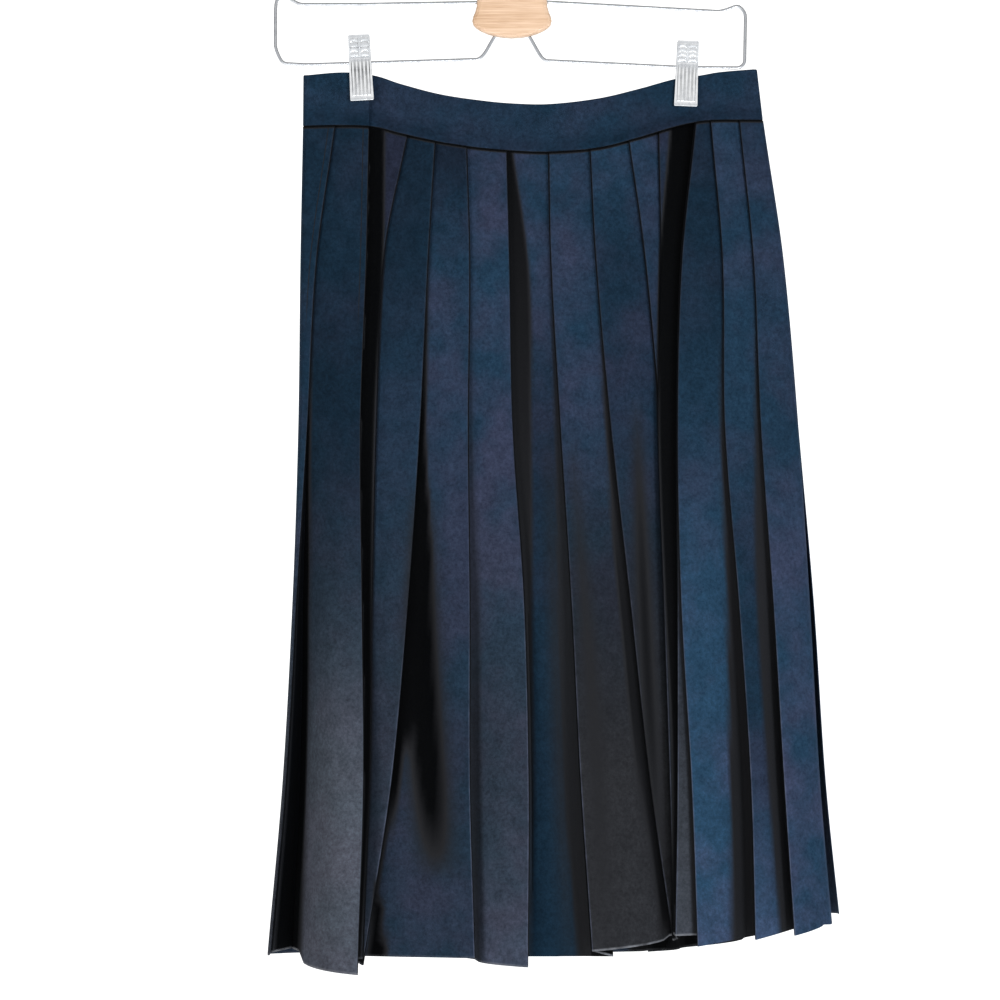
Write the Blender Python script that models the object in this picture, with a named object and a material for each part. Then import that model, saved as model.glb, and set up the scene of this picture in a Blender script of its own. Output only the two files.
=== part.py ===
"""A pleated wrap skirt on a clip hanger, modelled at real size with +Z up.

X runs to the right as the front is seen, the front faces -Y, and the origin is the
inside top of the hook, where a rail carries the hanger. Sizes are in millimetres and
MM turns them into metres. A drop is a distance below the origin.
"""

import math
from collections import namedtuple

import bmesh
import bpy

MM = 0.001

# Cloth walls and their spacing
CLOTH = 1.0
LAYER = 1.6
BAND = 2.0
BAND_LAYER = 2.4
SEAM_GAP = 0.3
HALF_GAP = SEAM_GAP / 2
SEAM_EASE = 0.15

# Depth of the skirt from front to back, at the waist and at the hem
SIDE_DEPTH_TOP = 5.5
SIDE_DEPTH_HEM = 10.0
BOW_TOP = 8.0
BOW_HEM = 40.0
BOW_GROWTH = 0.9
BOW_POWER = 3.0

# The rows of the walls, from the waist seam at 0 to the hem at 1
LEVELS = (0.0, 0.08, 0.17, 0.27, 0.36, 0.44, 0.53, 0.62, 0.71, 0.80, 0.88, 0.94, 1.0)
STITCH_END = 0.36
OPENING_START = 0.33
FULLY_OPEN = 0.86
SEAM_DROP = 200.0
HEM_DROP = 833.0

# How each panel is drawn between its folds
PANEL_SHARES = (0.2, 0.5)
TIGHTEST_PANEL = 2.0
SINK_AT_INNER_FOLD = 0.35
OPEN_FOLD_REACH = 4.0
OPEN_SHELF = 0.12
CLOSED_SHELF = 0.5
FLAT_STRIP = 12.0
CORNER_SPOT = 0.1
MIDDLE_SPOT = 0.55
MITRE_LIMIT = 0.6

# Drops at which the tables below give their X places
STATIONS = (200, 295, 425, 560, 700, 820)
DEPTH_LEVELS = (0.0, STITCH_END, 1.0)

Edge = namedtuple("Edge", "name x200 x295 x425 x560 x700 x820")
LEFT_SIDE = Edge("left_side", -162.6, -164.4, -166.1, -170.6, -178.3, -188.8)
FRONT_RIGHT_SIDE = Edge("front_right_side", 197.3, 211.2, 222.7, 231.5, 239.5, 249.7)
BACK_RIGHT_SIDE = Edge("back_right_side", 197.3, 211.2, 222.7, 234.6, 243.9, 256.2)

# One row for each pleat, from the side seam to the middle of the front. A row gives the
# crisp edge's X at each station, its depth behind the front's surface at three levels,
# how far the cloth turns back under it, how far the next panel sinks beside it, how
# quickly its own panel rolls forward, its panel's hem drop at both ends, and how the hem
# runs between them: 1 straight, less with a rounded corner at the near end.
Fold = namedtuple(
    "Fold",
    "name x200 x295 x425 x560 x700 x820 deep_top deep_stitch deep_hem "
    "under_top under_hem sink_top sink_hem roll hem_near hem_far hem_round",
)
LAP_EDGE = "lap_edge"
LEFT_FOLDS = (
    Fold("side_tuck", -139, -152, -159, -167, -176, -186, 0, 0, 0, 10, -15, 0, 20, 1.0, 834, 832, 1),
    Fold(LAP_EDGE, -111, -113, -117.4, -116, -114.7, -118.3, 0, 0, -12, 24, 30, 1, 14, 3.0, 829, 848, 0.25),
    Fold("deep_tuck", -82, -99.6, -105.5, -108.7, -110.4, -115.2, 3, 4, 4, 10, 8, 0, 1, 1.0, 836, 836, 1),
    Fold("left_outer", -59.7, -65.3, -71.5, -80.7, -93.5, -112, 0, 0, 7.4, 12, 8, 0, 3, 1.2, 837, 841, 1),
    Fold("left_middle", -35.7, -33.1, -34.1, -32.8, -32.6, -29.3, 0, 0, -2, 12, 16, 0, 8, 1.5, 834, 835, 1),
    Fold("left_inner", -4.7, -2.2, 0.5, 9.3, 12.8, 12.3, 0, 0, -5, 12, 16, 0, 10, 1.3, 834, 842, 0.4),
)
RIGHT_FOLDS = (
    Fold("right_side", 178.2, 187.6, 193.1, 202.6, 210.9, 218.9, 0, 0, -4, 10, 12, 0, 10, 1.5, 810, 818, 0.7),
    Fold("right_outer", 155.6, 163.5, 165.1, 175.8, 185, 188.3, 0, 0, -4, 10, 12, 0, 10, 2.0, 810, 821, 1),
    Fold("right_bright", 141.7, 131.8, 128.4, 131.1, 139, 143.4, 0, 0, -5, 8, 10, 0, 2, 2.0, 816, 826, 1),
    Fold("right_return", 140.7, 130.8, 127.5, 128.2, 128.2, 126.4, 3.4, 3.4, 0, 8, 8, 1, 3, 1.0, 817, 818, 1),
    Fold("dark_tuck", 114.2, 115.8, 113.6, 117.8, 122.3, 125.2, 5, 6, 7, 8, 8, 0, 1, 1.0, 817, 817, 1),
    Fold("short_tuck", 90.7, 103.4, 114.4, 118.6, 123.1, 126, 1, 9.4, 10.4, 8, 6, 0, 1, 1.0, 818, 818, 1),
    Fold("right_middle", 60.5, 65.3, 76.7, 91.6, 107.1, 124.4, 0, 0, 13.8, 8, 6, 0, 1, 1.2, 821, 822, 1),
    Fold("right_inner", 28.7, 30.4, 37.7, 46.2, 53.3, 61.4, 0, 0, 0, 12, 16, 0, 8, 1.3, 818, 830, 0.45),
)
MIDDLE_HEM = 834

# The back is pleated evenly towards the middle of the back
BACK_FOLDS_A_SIDE = 5
BACK_SPREAD = 5.7
BACK_UNEVEN = 0.035
BACK_UNEVEN_TURN = 2.3
BACK_UNEVEN_RUN = 260
BACK_UNDER = (11, 14)
BACK_SINK = (0, 9)
BACK_ROLL = 1.4
BACK_HEM_DEEP = -2
BACK_HEM_STEP = 2
BACK_HEM_ROUND = 0.5
BACK_RIPPLE = 3
BACK_RIPPLE_TURN = 1.9
HemSpot = namedtuple("HemSpot", "x drop")
BACK_HEM_SPOTS = (
    HemSpot(-189, 834), HemSpot(-60, 833), HemSpot(20, 833.5), HemSpot(80, 834), HemSpot(108, 833.5),
    HemSpot(135, 830), HemSpot(165, 828.5), HemSpot(188, 818), HemSpot(215, 808.5), HemSpot(256, 802.5),
)

# The waistband: its top edge and the seam below it
BandSpot = namedtuple("BandSpot", "x top seam")
BAND_SPOTS = (
    BandSpot(-162, 151.0, 190.8),
    BandSpot(-130, 148.6, 190.3),
    BandSpot(-106, 151.2, 191.6),
    BandSpot(-87, 157.4, 196.4),
    BandSpot(-56, 165.6, 203.2),
    BandSpot(-25, 170.4, 207.8),
    BandSpot(0, 172.8, 210.0),
    BandSpot(29, 173.3, 210.9),
    BandSpot(68, 168.7, 207.6),
    BandSpot(99, 161.3, 199.6),
    BandSpot(127, 153.6, 191.2),
    BandSpot(146, 151.0, 187.2),
    BandSpot(161, 148.4, 186.1),
    BandSpot(192, 145.8, 186.1),
)
BAND_LEFT_TOP = -162.1
BAND_LEFT_SEAM = -162.4
BAND_RIGHT_TOP = 190.4
BAND_RIGHT_SEAM = 195.0
BAND_ROWS = (0.0, 0.33, 0.66, 0.83, 1.0)
BAND_STEP = 11.0
BAND_STACK_DEPTH = 2.4
BAND_BOW = 6.0
LAP_START = -134.0
LAP_RAMP_START = -105.0
LAP_RAMP_END = -90.0
LAP_STACK_DEPTH = 1.4
CLIPPED_SHARE = 0.66
BAND_FALL_END = 1.1
CLIPPED_HALF_WIDTH = 12.0

# The hanger's wires and its hook
WIRE_RADIUS = 1.2
HOOK_WIRE_RADIUS = 1.8
HOOK_INNER_RADIUS = 19.0
HOOK_TIP_ANGLE = 200
HOOK_JOIN_ANGLE = -35
HOOK_STEM = ((0.0, 62.0), (2.4, 50.0), (10.0, 40.0))
HOOK_STEM_STEPS = 12
HOOK_TURN_STEPS = 26
LEFT_WIRE_ROUTE = (
    (-27.8, 94.2), (-115, 95.7), (-165, 95.7), (-171, 92.5), (-177, 88.5), (-183, 92.0),
    (-183.8, 100), (-183.8, 130.3), (-178.4, 141.6), (-159, 142.6), (-25.6, 138.4),
    (-21.2, 134.0), (-14.3, 121.9),
)
RIGHT_WIRE_ROUTE = (
    (27.8, 93.9), (155, 100.9), (161, 101.3), (167, 99.8), (176, 96.2), (181.5, 102.4),
    (180.8, 141.6), (177, 145.0), (136.1, 144.8), (25.2, 139.3), (21.4, 134.6), (14.3, 121.9),
)
WIRE_BEND = 4.0
WIRE_BEND_STEPS = 3
WIRE_BEND_SHARE = 0.45
WIRE_ROUND_STEPS = 2

# The wooden middle: half its outline, from the top to the bottom
WoodSpot = namedtuple("WoodSpot", "half_width drop")
WOOD_SPOTS = (
    WoodSpot(0, 77.0), WoodSpot(9, 77.2), WoodSpot(16, 78.4), WoodSpot(21.5, 81.2),
    WoodSpot(25.2, 86.0), WoodSpot(27, 91.5), WoodSpot(27.5, 98.0), WoodSpot(28.8, 102.4),
    WoodSpot(30.2, 105.5), WoodSpot(30.8, 108.8), WoodSpot(30, 112.0), WoodSpot(27.6, 114.6),
    WoodSpot(24, 116.8), WoodSpot(19.5, 118.8), WoodSpot(13.5, 120.6), WoodSpot(7, 121.7),
    WoodSpot(0, 122.1),
)
WOOD_THICKNESS = 16.0
WOOD_EDGE = 3.0
WOOD_EDGE_STEPS = 2
WOOD_EDGE_ANGLE = math.radians(60)

# The two clips, each hung on the lower wire
Clip = namedtuple("Clip", "name x wire_drop handle jaw tilt cloth_half")
CLIPS = (
    Clip("clip_left", -117.9, 141.3, 22.0, 29.2, -3.0, BAND_LAYER + BAND / 2),
    Clip("clip_right", 136.1, 144.8, 20.7, 30.2, 2.2, BAND_LAYER / 2 + BAND / 2),
)
CLIP_TOP_WIDTH = 16.4
CLIP_FOOT_WIDTH = 18.4
CLIP_PLATE = 0.9
SPRING_OUTER = 2.6
SPRING_INNER = 1.65
SPRING_LENGTH = 10.0
SPRING_SIDES = 16

# A jaw seen from the side: how far its plate and its flanges' edges stand off the middle,
# at shares of the handle's height above the wire
JawSpot = namedtuple("JawSpot", "height plate flange")
HANDLE_SPOTS = (JawSpot(1.0, 8.5, 6.8), JawSpot(0.55, 6.3, 3.8), JawSpot(0.22, 4.3, 1.9))
JAW_SHOULDER = 5.5
SHOULDER_PLATE = 0.6
SHOULDER_FLANGE = 0.8
JAW_START = 7.0
JAW_DEPTH = 1.25
FOOT_LIP = 2.5
FOOT_DEPTH = 1.0
WIRE_CLEARANCE = 0.35
SMOOTH_ANGLE = math.radians(35)

# Colours of the parts: red, green, blue, then roughness and metallic
NAVY = ((0.012, 0.020, 0.045), 0.85, 0.0)
CHROME = ((0.62, 0.63, 0.64), 0.18, 1.0)
PALE_WOOD = ((0.72, 0.47, 0.26), 0.5, 0.0)

Spot = namedtuple("Spot", "x deep hem")


def mix(low, high, share):
    return low + (high - low) * share


def ease(value, low=0.0, high=1.0):
    """Rise smoothly from 0 at low to 1 at high."""
    share = min(max((value - low) / (high - low), 0.0), 1.0)
    return share * share * (3 - 2 * share)


def curve_at(stations, values, place):
    """Read a smooth curve through the values, which runs on straight at both ends."""
    last = len(stations) - 1
    slopes = []
    for index in range(last + 1):
        after = min(index + 1, last)
        before = max(index - 1, 0)
        rise = values[after] - values[before]
        slopes.append(rise / (stations[after] - stations[before]))
    if place <= stations[0]:
        return values[0] + slopes[0] * (place - stations[0])
    if place >= stations[last]:
        return values[last] + slopes[last] * (place - stations[last])
    index = max(number for number in range(last) if stations[number] <= place)
    span = stations[index + 1] - stations[index]
    t = (place - stations[index]) / span
    start_weight = (1 + 2 * t) * (1 - t) ** 2
    start_slope_weight = t * (1 - t) ** 2 * span
    end_slope_weight = t * t * (t - 1) * span
    return (
        start_weight * values[index]
        + start_slope_weight * slopes[index]
        + (1 - start_weight) * values[index + 1]
        + end_slope_weight * slopes[index + 1]
    )


def edge_x(row, drop):
    """The X place of a side or of a fold's crisp edge at a drop."""
    places = (row.x200, row.x295, row.x425, row.x560, row.x700, row.x820)
    return curve_at(STATIONS, places, drop)


def seam_drop(x):
    return curve_at([spot.x for spot in BAND_SPOTS], [spot.seam for spot in BAND_SPOTS], x)


def band_top_drop(x):
    return curve_at([spot.x for spot in BAND_SPOTS], [spot.top for spot in BAND_SPOTS], x)


def opening(level):
    """How far the pleats have opened: 0 while they are stitched, 1 near the hem."""
    return ease(level, OPENING_START, FULLY_OPEN)


def surface_y(x, level, left, right):
    """The outer surface of a panel, bowed out from its two sides."""
    drop = mix(SEAM_DROP, HEM_DROP, level)
    low = edge_x(left, drop)
    high = edge_x(right, drop)
    across = min(abs(2 * (x - low) / (high - low) - 1), 1.0)
    bow = mix(BOW_TOP, BOW_HEM, level ** BOW_GROWTH)
    return -mix(SIDE_DEPTH_TOP, SIDE_DEPTH_HEM, level) - bow * math.sqrt(1 - across ** BOW_POWER)


def deep_on(panel, x):
    """The depth of a panel's line at x, held level beyond its ends."""
    if x <= panel[0].x:
        return panel[0].deep
    for near, far in zip(panel, panel[1:]):
        if x <= far.x:
            share = (x - near.x) / max(far.x - near.x, 1e-9)
            return mix(near.deep, far.deep, share)
    return panel[-1].deep


def panel_to_edge(begin, shelf, edge, fold):
    """A panel's line from the fold that it leaves to its own crisp edge."""
    line = [begin, shelf]
    for share in PANEL_SHARES:
        deep = mix(edge.deep, shelf.deep, (1 - share) ** fold.roll)
        hem = mix(shelf.hem, edge.hem, share ** fold.hem_round)
        line.append(Spot(mix(shelf.x, edge.x, share), deep, hem))
    line.append(edge)
    return line


def fold_edge(fold, level, facing):
    """The crisp edge of a fold at a level, measured from the side towards the middle."""
    seam = seam_drop(fold.x200)
    drop = mix(seam, fold.hem_far, level)
    deep = curve_at(DEPTH_LEVELS, (fold.deep_top, fold.deep_stitch, fold.deep_hem), level)
    return Spot(edge_x(fold, drop) * facing, deep, fold.hem_far)


def turn_under(panel, fold, level, next_edge, next_hem):
    """Where the cloth turns back under a fold: its inner fold and the next panel's start."""
    edge = panel[-1]
    wanted = mix(fold.under_top, fold.under_hem, level)
    reach = min(wanted, edge.x - panel[0].x - TIGHTEST_PANEL)
    spread = ease(OPEN_FOLD_REACH - reach, 0, 2 * OPEN_FOLD_REACH)
    sink = mix(fold.sink_top, fold.sink_hem, opening(level))
    inner_x = edge.x - reach
    inner_deep = deep_on(panel, inner_x) + LAYER + sink * mix(SINK_AT_INNER_FOLD, 1, spread)
    inner = Spot(inner_x, inner_deep, next_hem)
    begin = Spot(inner_x, inner_deep + LAYER, next_hem)
    closed_x = min(edge.x, mix(inner_x, next_edge.x, CLOSED_SHELF))
    shelf_x = mix(closed_x, mix(inner_x, next_edge.x, OPEN_SHELF), spread)
    across = min(max((shelf_x - inner_x) / max(reach, 1.0), 0.0), 1.0)
    closed_deep = deep_on(panel, shelf_x) + 2 * LAYER + sink * across
    shelf_deep = mix(closed_deep, begin.deep, spread)
    shelf_hem = mix(next_hem, next_edge.hem, (shelf_x - inner_x) / (next_edge.x - inner_x))
    return inner, begin, Spot(shelf_x, shelf_deep, shelf_hem)


def half_lines(folds, side_x, side_y_at, level, facing, middle_x):
    """The centre lines of one half, from its side seam to its innermost underlay.

    A lap edge ends one line, and the next starts under it as a free edge.
    """
    lines = []
    edges = [fold_edge(fold, level, facing) for fold in folds]
    edges[0] = edges[0]._replace(x=max(edges[0].x, side_x + CLOTH / 2 + LAYER))
    start_hem = folds[0].hem_near
    begin = Spot(side_x + CLOTH / 2, None, start_hem)
    first = edges[0]
    corner_deep = side_y_at(first)
    begin = begin._replace(deep=corner_deep)
    near_x = mix(begin.x, first.x, CORNER_SPOT)
    near = Spot(near_x, mix(corner_deep, first.deep, CORNER_SPOT), start_hem)
    panel = panel_to_edge(begin, near, first, folds[0])
    line = list(panel)
    middle = Spot(middle_x * facing, 0.0, MIDDLE_HEM)
    for number, fold in enumerate(folds):
        after = edges[number + 1] if number + 1 < len(folds) else middle
        after_hem = folds[number + 1].hem_near if number + 1 < len(folds) else MIDDLE_HEM
        inner, start, shelf = turn_under(panel, fold, level, after, after_hem)
        if fold.name == LAP_EDGE:
            lines.append(line)
            start = start._replace(deep=start.deep - LAYER)
            shelf = shelf._replace(deep=shelf.deep - LAYER)
            line = []
        else:
            line.append(panel[-1]._replace(deep=panel[-1].deep + LAYER))
            line.append(inner)
        if number + 1 < len(folds):
            panel = panel_to_edge(start, shelf, after, folds[number + 1])
            line.extend(panel)
        else:
            low_hem = mix(shelf.hem, MIDDLE_HEM, MIDDLE_SPOT)
            low = Spot(mix(shelf.x, middle.x, MIDDLE_SPOT), shelf.deep, low_hem)
            line.extend((start, shelf, low))
    lines.append(line)
    return lines


def place_line(line, level, facing, left, right, behind):
    """Turn a centre line's spots into points of the skirt's frame."""
    points = []
    for spot in line:
        x = spot.x * facing
        y = surface_y(x, level, left, right) + spot.deep
        seam = seam_drop(x) + HALF_GAP + SEAM_EASE
        points.append((x, y * behind, -mix(seam, spot.hem, level)))
    return points


def side_points(corner, behind):
    """The wall's turn at the side, from the side seam out to its first corner."""
    x, y, z = corner
    return [(x, -HALF_GAP * behind, z), (x, y / 2, z)]


def skirt_rows(left_folds, right_folds, left, right, behind):
    """The rows of centre-line points of each piece of a pleated side of the skirt."""
    pieces = None
    for level in LEVELS:
        halves = []
        for folds, side, facing in ((left_folds, left, 1), (right_folds, right, -1)):
            drop = mix(seam_drop(side.x200), folds[0].hem_near, level)
            side_x = edge_x(side, drop) * facing

            def corner_deep(first):
                strip = first.x - side_x
                flat = 1 - min(strip / FLAT_STRIP, 1.0)
                here = surface_y((side_x + CLOTH / 2) * facing, level, left, right)
                there = surface_y(first.x * facing, level, left, right) + first.deep
                return mix(0, there - here, flat)

            inner_left = edge_x(left_folds[-1], mix(SEAM_DROP, HEM_DROP, level))
            inner_right = edge_x(right_folds[-1], mix(SEAM_DROP, HEM_DROP, level))
            middle_x = (inner_left + inner_right) / 2
            lines = half_lines(folds, side_x, corner_deep, level, facing, middle_x)
            halves.append([place_line(line, level, facing, left, right, behind) for line in lines])
        left_lines, right_lines = halves
        left_lines[0] = side_points(left_lines[0][0], behind) + left_lines[0]
        right_lines[0] = side_points(right_lines[0][0], behind) + right_lines[0]
        across = left_lines[-1] + list(reversed(right_lines[0]))
        row_of_pieces = left_lines[:-1] + [across]
        if pieces is None:
            pieces = [[] for _ in row_of_pieces]
        for rows, row in zip(pieces, row_of_pieces):
            rows.append(row)
    return pieces


def back_folds(side):
    """The back's pleats on one side, evenly spread with slightly uneven spacing."""
    folds = []
    hem_places = [spot.x for spot in BACK_HEM_SPOTS]
    hem_drops = [spot.drop for spot in BACK_HEM_SPOTS]
    near_hem = hem_drops[0] if side < 0 else hem_drops[-1]
    for number in range(1, BACK_FOLDS_A_SIDE + 1):
        places = []
        for drop in STATIONS:
            low = edge_x(LEFT_SIDE, drop)
            high = edge_x(BACK_RIGHT_SIDE, drop)
            turn = BACK_UNEVEN_TURN * number + side + drop / BACK_UNEVEN_RUN
            uneven = BACK_UNEVEN * math.sin(turn)
            share = 1 - number / BACK_SPREAD + uneven
            places.append((low + high) / 2 + side * share * (high - low) / 2)
        far_hem = curve_at(hem_places, hem_drops, places[-1])
        ripple = BACK_RIPPLE * math.sin(BACK_RIPPLE_TURN * number + side)
        folds.append(Fold(
            "back_fold", *places, 0, 0, BACK_HEM_DEEP - ripple, BACK_UNDER[0], BACK_UNDER[1],
            BACK_SINK[0], BACK_SINK[1] + ripple, BACK_ROLL, near_hem, far_hem, BACK_HEM_ROUND,
        ))
        near_hem = far_hem - BACK_HEM_STEP
    return tuple(folds)


def band_row(row_share, start_x, end_x, count, y_at, left_turn, right_turn, behind):
    """One row of a waistband piece, with its turn at a side where it has one."""
    points = []
    for number in range(count + 1):
        x = mix(start_x, end_x, number / count)
        top = band_top_drop(x)
        drop = mix(top, seam_drop(x) - HALF_GAP, row_share)
        points.append((x, y_at(x, row_share) * behind, -drop))
    if left_turn:
        points.insert(0, (points[0][0], -HALF_GAP * behind, points[0][2]))
    if right_turn:
        points.append((points[-1][0], -HALF_GAP * behind, points[-1][2]))
    return points


def between_clips(x):
    """1 half way between the clips, 0 at them and outside them."""
    low = CLIPS[0].x + CLIPPED_HALF_WIDTH
    high = CLIPS[1].x - CLIPPED_HALF_WIDTH
    share = min(max((x - low) / (high - low), 0.0), 1.0)
    return math.sin(math.pi * share)


def lap_share(x):
    """1 where the front lies under the lap, 0 away from it."""
    return 1 - ease(x, LAP_RAMP_START, LAP_RAMP_END)


def below_clip(row_share):
    """0 down to the clips' feet, then up to 1 at the band's seam."""
    return ease(row_share, CLIPPED_SHARE, BAND_FALL_END) / ease(1.0, CLIPPED_SHARE, BAND_FALL_END)


def front_band_y(x, row_share):
    top = -BAND_LAYER / 2 * (1 - lap_share(x)) - BAND_BOW * between_clips(x)
    foot = surface_y(x, 0, LEFT_SIDE, FRONT_RIGHT_SIDE) + BAND_STACK_DEPTH
    foot += (BAND_LAYER - BAND_STACK_DEPTH + LAP_STACK_DEPTH) * lap_share(x)
    return mix(top, foot, below_clip(row_share))


def lap_band_y(x, row_share):
    foot = surface_y(x, 0, LEFT_SIDE, FRONT_RIGHT_SIDE) + LAP_STACK_DEPTH
    return mix(-BAND_LAYER, foot, below_clip(row_share))


def back_band_y(x, row_share):
    """Mirrored to the back by its caller, so it is negative here too."""
    top = -BAND_LAYER / 2 * (1 + lap_share(x)) - BAND_BOW * between_clips(x)
    foot = surface_y(x, 0, LEFT_SIDE, BACK_RIGHT_SIDE) + BAND_STACK_DEPTH
    return mix(top, foot, below_clip(row_share))


def band_rows(start, end, y_at, left_turn, right_turn, behind):
    """All rows of a waistband piece. An end that is None lies at the skirt's side."""
    rows = []
    whole = BAND_RIGHT_SEAM - BAND_LEFT_SEAM
    length = (whole if end is None else end - BAND_LEFT_SEAM)
    length -= 0 if start is None else start - BAND_LEFT_SEAM
    count = max(round(length / BAND_STEP), 2)
    for share in BAND_ROWS:
        left = mix(BAND_LEFT_TOP, BAND_LEFT_SEAM, share) + BAND / 2 if start is None else start
        right = mix(BAND_RIGHT_TOP, BAND_RIGHT_SEAM, share) - BAND / 2 if end is None else end
        rows.append(band_row(share, left, right, count, y_at, left_turn, right_turn, behind))
    return rows


def make_material(name, look):
    colour, roughness, metallic = look
    material = bpy.data.materials.new(name)
    material.use_nodes = True
    shader = material.node_tree.nodes["Principled BSDF"]
    shader.inputs["Base Color"].default_value = (*colour, 1)
    shader.inputs["Roughness"].default_value = roughness
    shader.inputs["Metallic"].default_value = metallic
    material.diffuse_color = (*colour, 1)
    return material


def link_object(name, data, look):
    data.materials.append(make_material(name, look))
    result = bpy.data.objects.new(name, data)
    bpy.context.scene.collection.objects.link(result)
    return result


def line_directions(row):
    """Unit directions of a row's segments, seen from above."""
    directions = []
    for near, far in zip(row, row[1:]):
        run = (far[0] - near[0], far[1] - near[1])
        length = max(math.hypot(*run), 1e-9)
        directions.append((run[0] / length, run[1] / length))
    return directions


def offset_row(row, distance):
    """Move a row's points sideways by the distance, with mitred corners."""
    directions = line_directions(row)
    points = []
    for index, (x, y, z) in enumerate(row):
        before = directions[max(index - 1, 0)]
        after = directions[min(index, len(directions) - 1)]
        normal = (-(before[1] + after[1]), before[0] + after[0])
        length = max(math.hypot(*normal), 1e-9)
        normal = (normal[0] / length, normal[1] / length)
        facing = -normal[0] * after[1] + normal[1] * after[0]
        stretch = distance / max(facing, MITRE_LIMIT)
        points.append((x + normal[0] * stretch, y + normal[1] * stretch, z))
    return points


def wall_mesh(name, rows, thickness):
    """A closed wall of even thickness through rows of centre-line points."""
    shape = bmesh.new()
    faces_of_wall = []
    for side in (thickness / 2, -thickness / 2):
        grid = []
        for row in rows:
            corners = [tuple(value * MM for value in point) for point in offset_row(row, side)]
            grid.append([shape.verts.new(corner) for corner in corners])
        faces_of_wall.append(grid)
    inner, outer = faces_of_wall
    for grid in (inner, outer):
        for upper, lower in zip(grid, grid[1:]):
            for index in range(len(upper) - 1):
                shape.faces.new((upper[index], upper[index + 1], lower[index + 1], lower[index]))
    for number in (0, -1):
        for index in range(len(inner[number]) - 1):
            near, far = inner[number], outer[number]
            shape.faces.new((near[index], near[index + 1], far[index + 1], far[index]))
    for index in (0, -1):
        for row in range(len(rows) - 1):
            near = (inner[row][index], inner[row + 1][index])
            far = (outer[row + 1][index], outer[row][index])
            shape.faces.new(near + far)
    bmesh.ops.recalc_face_normals(shape, faces=shape.faces)
    mesh = bpy.data.meshes.new(name)
    shape.to_mesh(mesh)
    shape.free()
    return mesh


def make_wall(name, rows, thickness, look):
    mesh = wall_mesh(name, rows, thickness)
    mesh.shade_smooth()
    mesh.set_sharp_from_angle(angle=SMOOTH_ANGLE)
    return link_object(name, mesh, look)


def rounded_route(corners, radius):
    """A route through corners, with each inner corner rounded."""
    route = [corners[0]]
    for before, corner, after in zip(corners, corners[1:], corners[2:]):
        back = (before[0] - corner[0], before[1] - corner[1])
        on = (after[0] - corner[0], after[1] - corner[1])
        shorter = min(math.hypot(*back), math.hypot(*on))
        reach = min(radius, WIRE_BEND_SHARE * shorter)
        start = [corner[axis] + back[axis] / math.hypot(*back) * reach for axis in (0, 1)]
        end = [corner[axis] + on[axis] / math.hypot(*on) * reach for axis in (0, 1)]
        for step in range(WIRE_BEND_STEPS + 1):
            t = step / WIRE_BEND_STEPS
            weights = ((1 - t) ** 2, 2 * t * (1 - t), t * t)
            spots = (start, corner, end)
            route.append(tuple(sum(w * s[axis] for w, s in zip(weights, spots)) for axis in (0, 1)))
    route.append(corners[-1])
    return route


def make_wire(name, route, radius):
    """A round wire along a route of (X, drop) pairs in the hanger's plane."""
    curve = bpy.data.curves.new(name, "CURVE")
    curve.dimensions = "3D"
    curve.bevel_depth = radius * MM
    curve.bevel_resolution = WIRE_ROUND_STEPS
    curve.use_fill_caps = True
    spline = curve.splines.new("POLY")
    spline.points.add(len(route) - 1)
    for point, (x, drop) in zip(spline.points, route):
        point.co = (x * MM, 0, -drop * MM, 1)
    return link_object(name, curve, CHROME)


def hook_route():
    """The hook's centre line: up the stem, round the outside and over to its tip."""
    radius = HOOK_INNER_RADIUS + HOOK_WIRE_RADIUS
    stem_foot = WOOD_SPOTS[0].drop - SEAM_GAP
    join = math.radians(HOOK_JOIN_ANGLE)
    join_x = radius * math.cos(join)
    join_drop = HOOK_INNER_RADIUS - radius * math.sin(join)
    stem = ((0.0, stem_foot),) + HOOK_STEM + ((join_x, join_drop),)
    places = [place for place, drop in stem]
    heights = [-drop for place, drop in stem]
    route = []
    for step in range(HOOK_STEM_STEPS):
        drop = mix(stem_foot, join_drop, step / HOOK_STEM_STEPS)
        route.append((curve_at(heights, places, -drop), drop))
    for turn in range(HOOK_TURN_STEPS + 1):
        angle = math.radians(mix(HOOK_JOIN_ANGLE, HOOK_TIP_ANGLE, turn / HOOK_TURN_STEPS))
        route.append((radius * math.cos(angle), HOOK_INNER_RADIUS - radius * math.sin(angle)))
    return route


def make_wood():
    """The wooden middle, cut from a board and rounded at its edges."""
    half = [(spot.half_width, -spot.drop) for spot in WOOD_SPOTS]
    outline = half + [(-x, z) for x, z in reversed(half[1:-1])]
    shape = bmesh.new()
    front = [shape.verts.new((x * MM, -WOOD_THICKNESS / 2 * MM, z * MM)) for x, z in outline]
    face = shape.faces.new(front)
    extruded = bmesh.ops.extrude_face_region(shape, geom=[face])
    moved = [item for item in extruded["geom"] if isinstance(item, bmesh.types.BMVert)]
    bmesh.ops.translate(shape, verts=moved, vec=(0, WOOD_THICKNESS * MM, 0))
    bmesh.ops.recalc_face_normals(shape, faces=shape.faces)
    mesh = bpy.data.meshes.new("hanger_wood")
    shape.to_mesh(mesh)
    shape.free()
    wood = link_object("hanger_wood", mesh, PALE_WOOD)
    bevel = wood.modifiers.new("rounded_edge", "BEVEL")
    bevel.width = WOOD_EDGE * MM
    bevel.segments = WOOD_EDGE_STEPS
    bevel.limit_method = "ANGLE"
    bevel.angle_limit = WOOD_EDGE_ANGLE
    return wood


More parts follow.
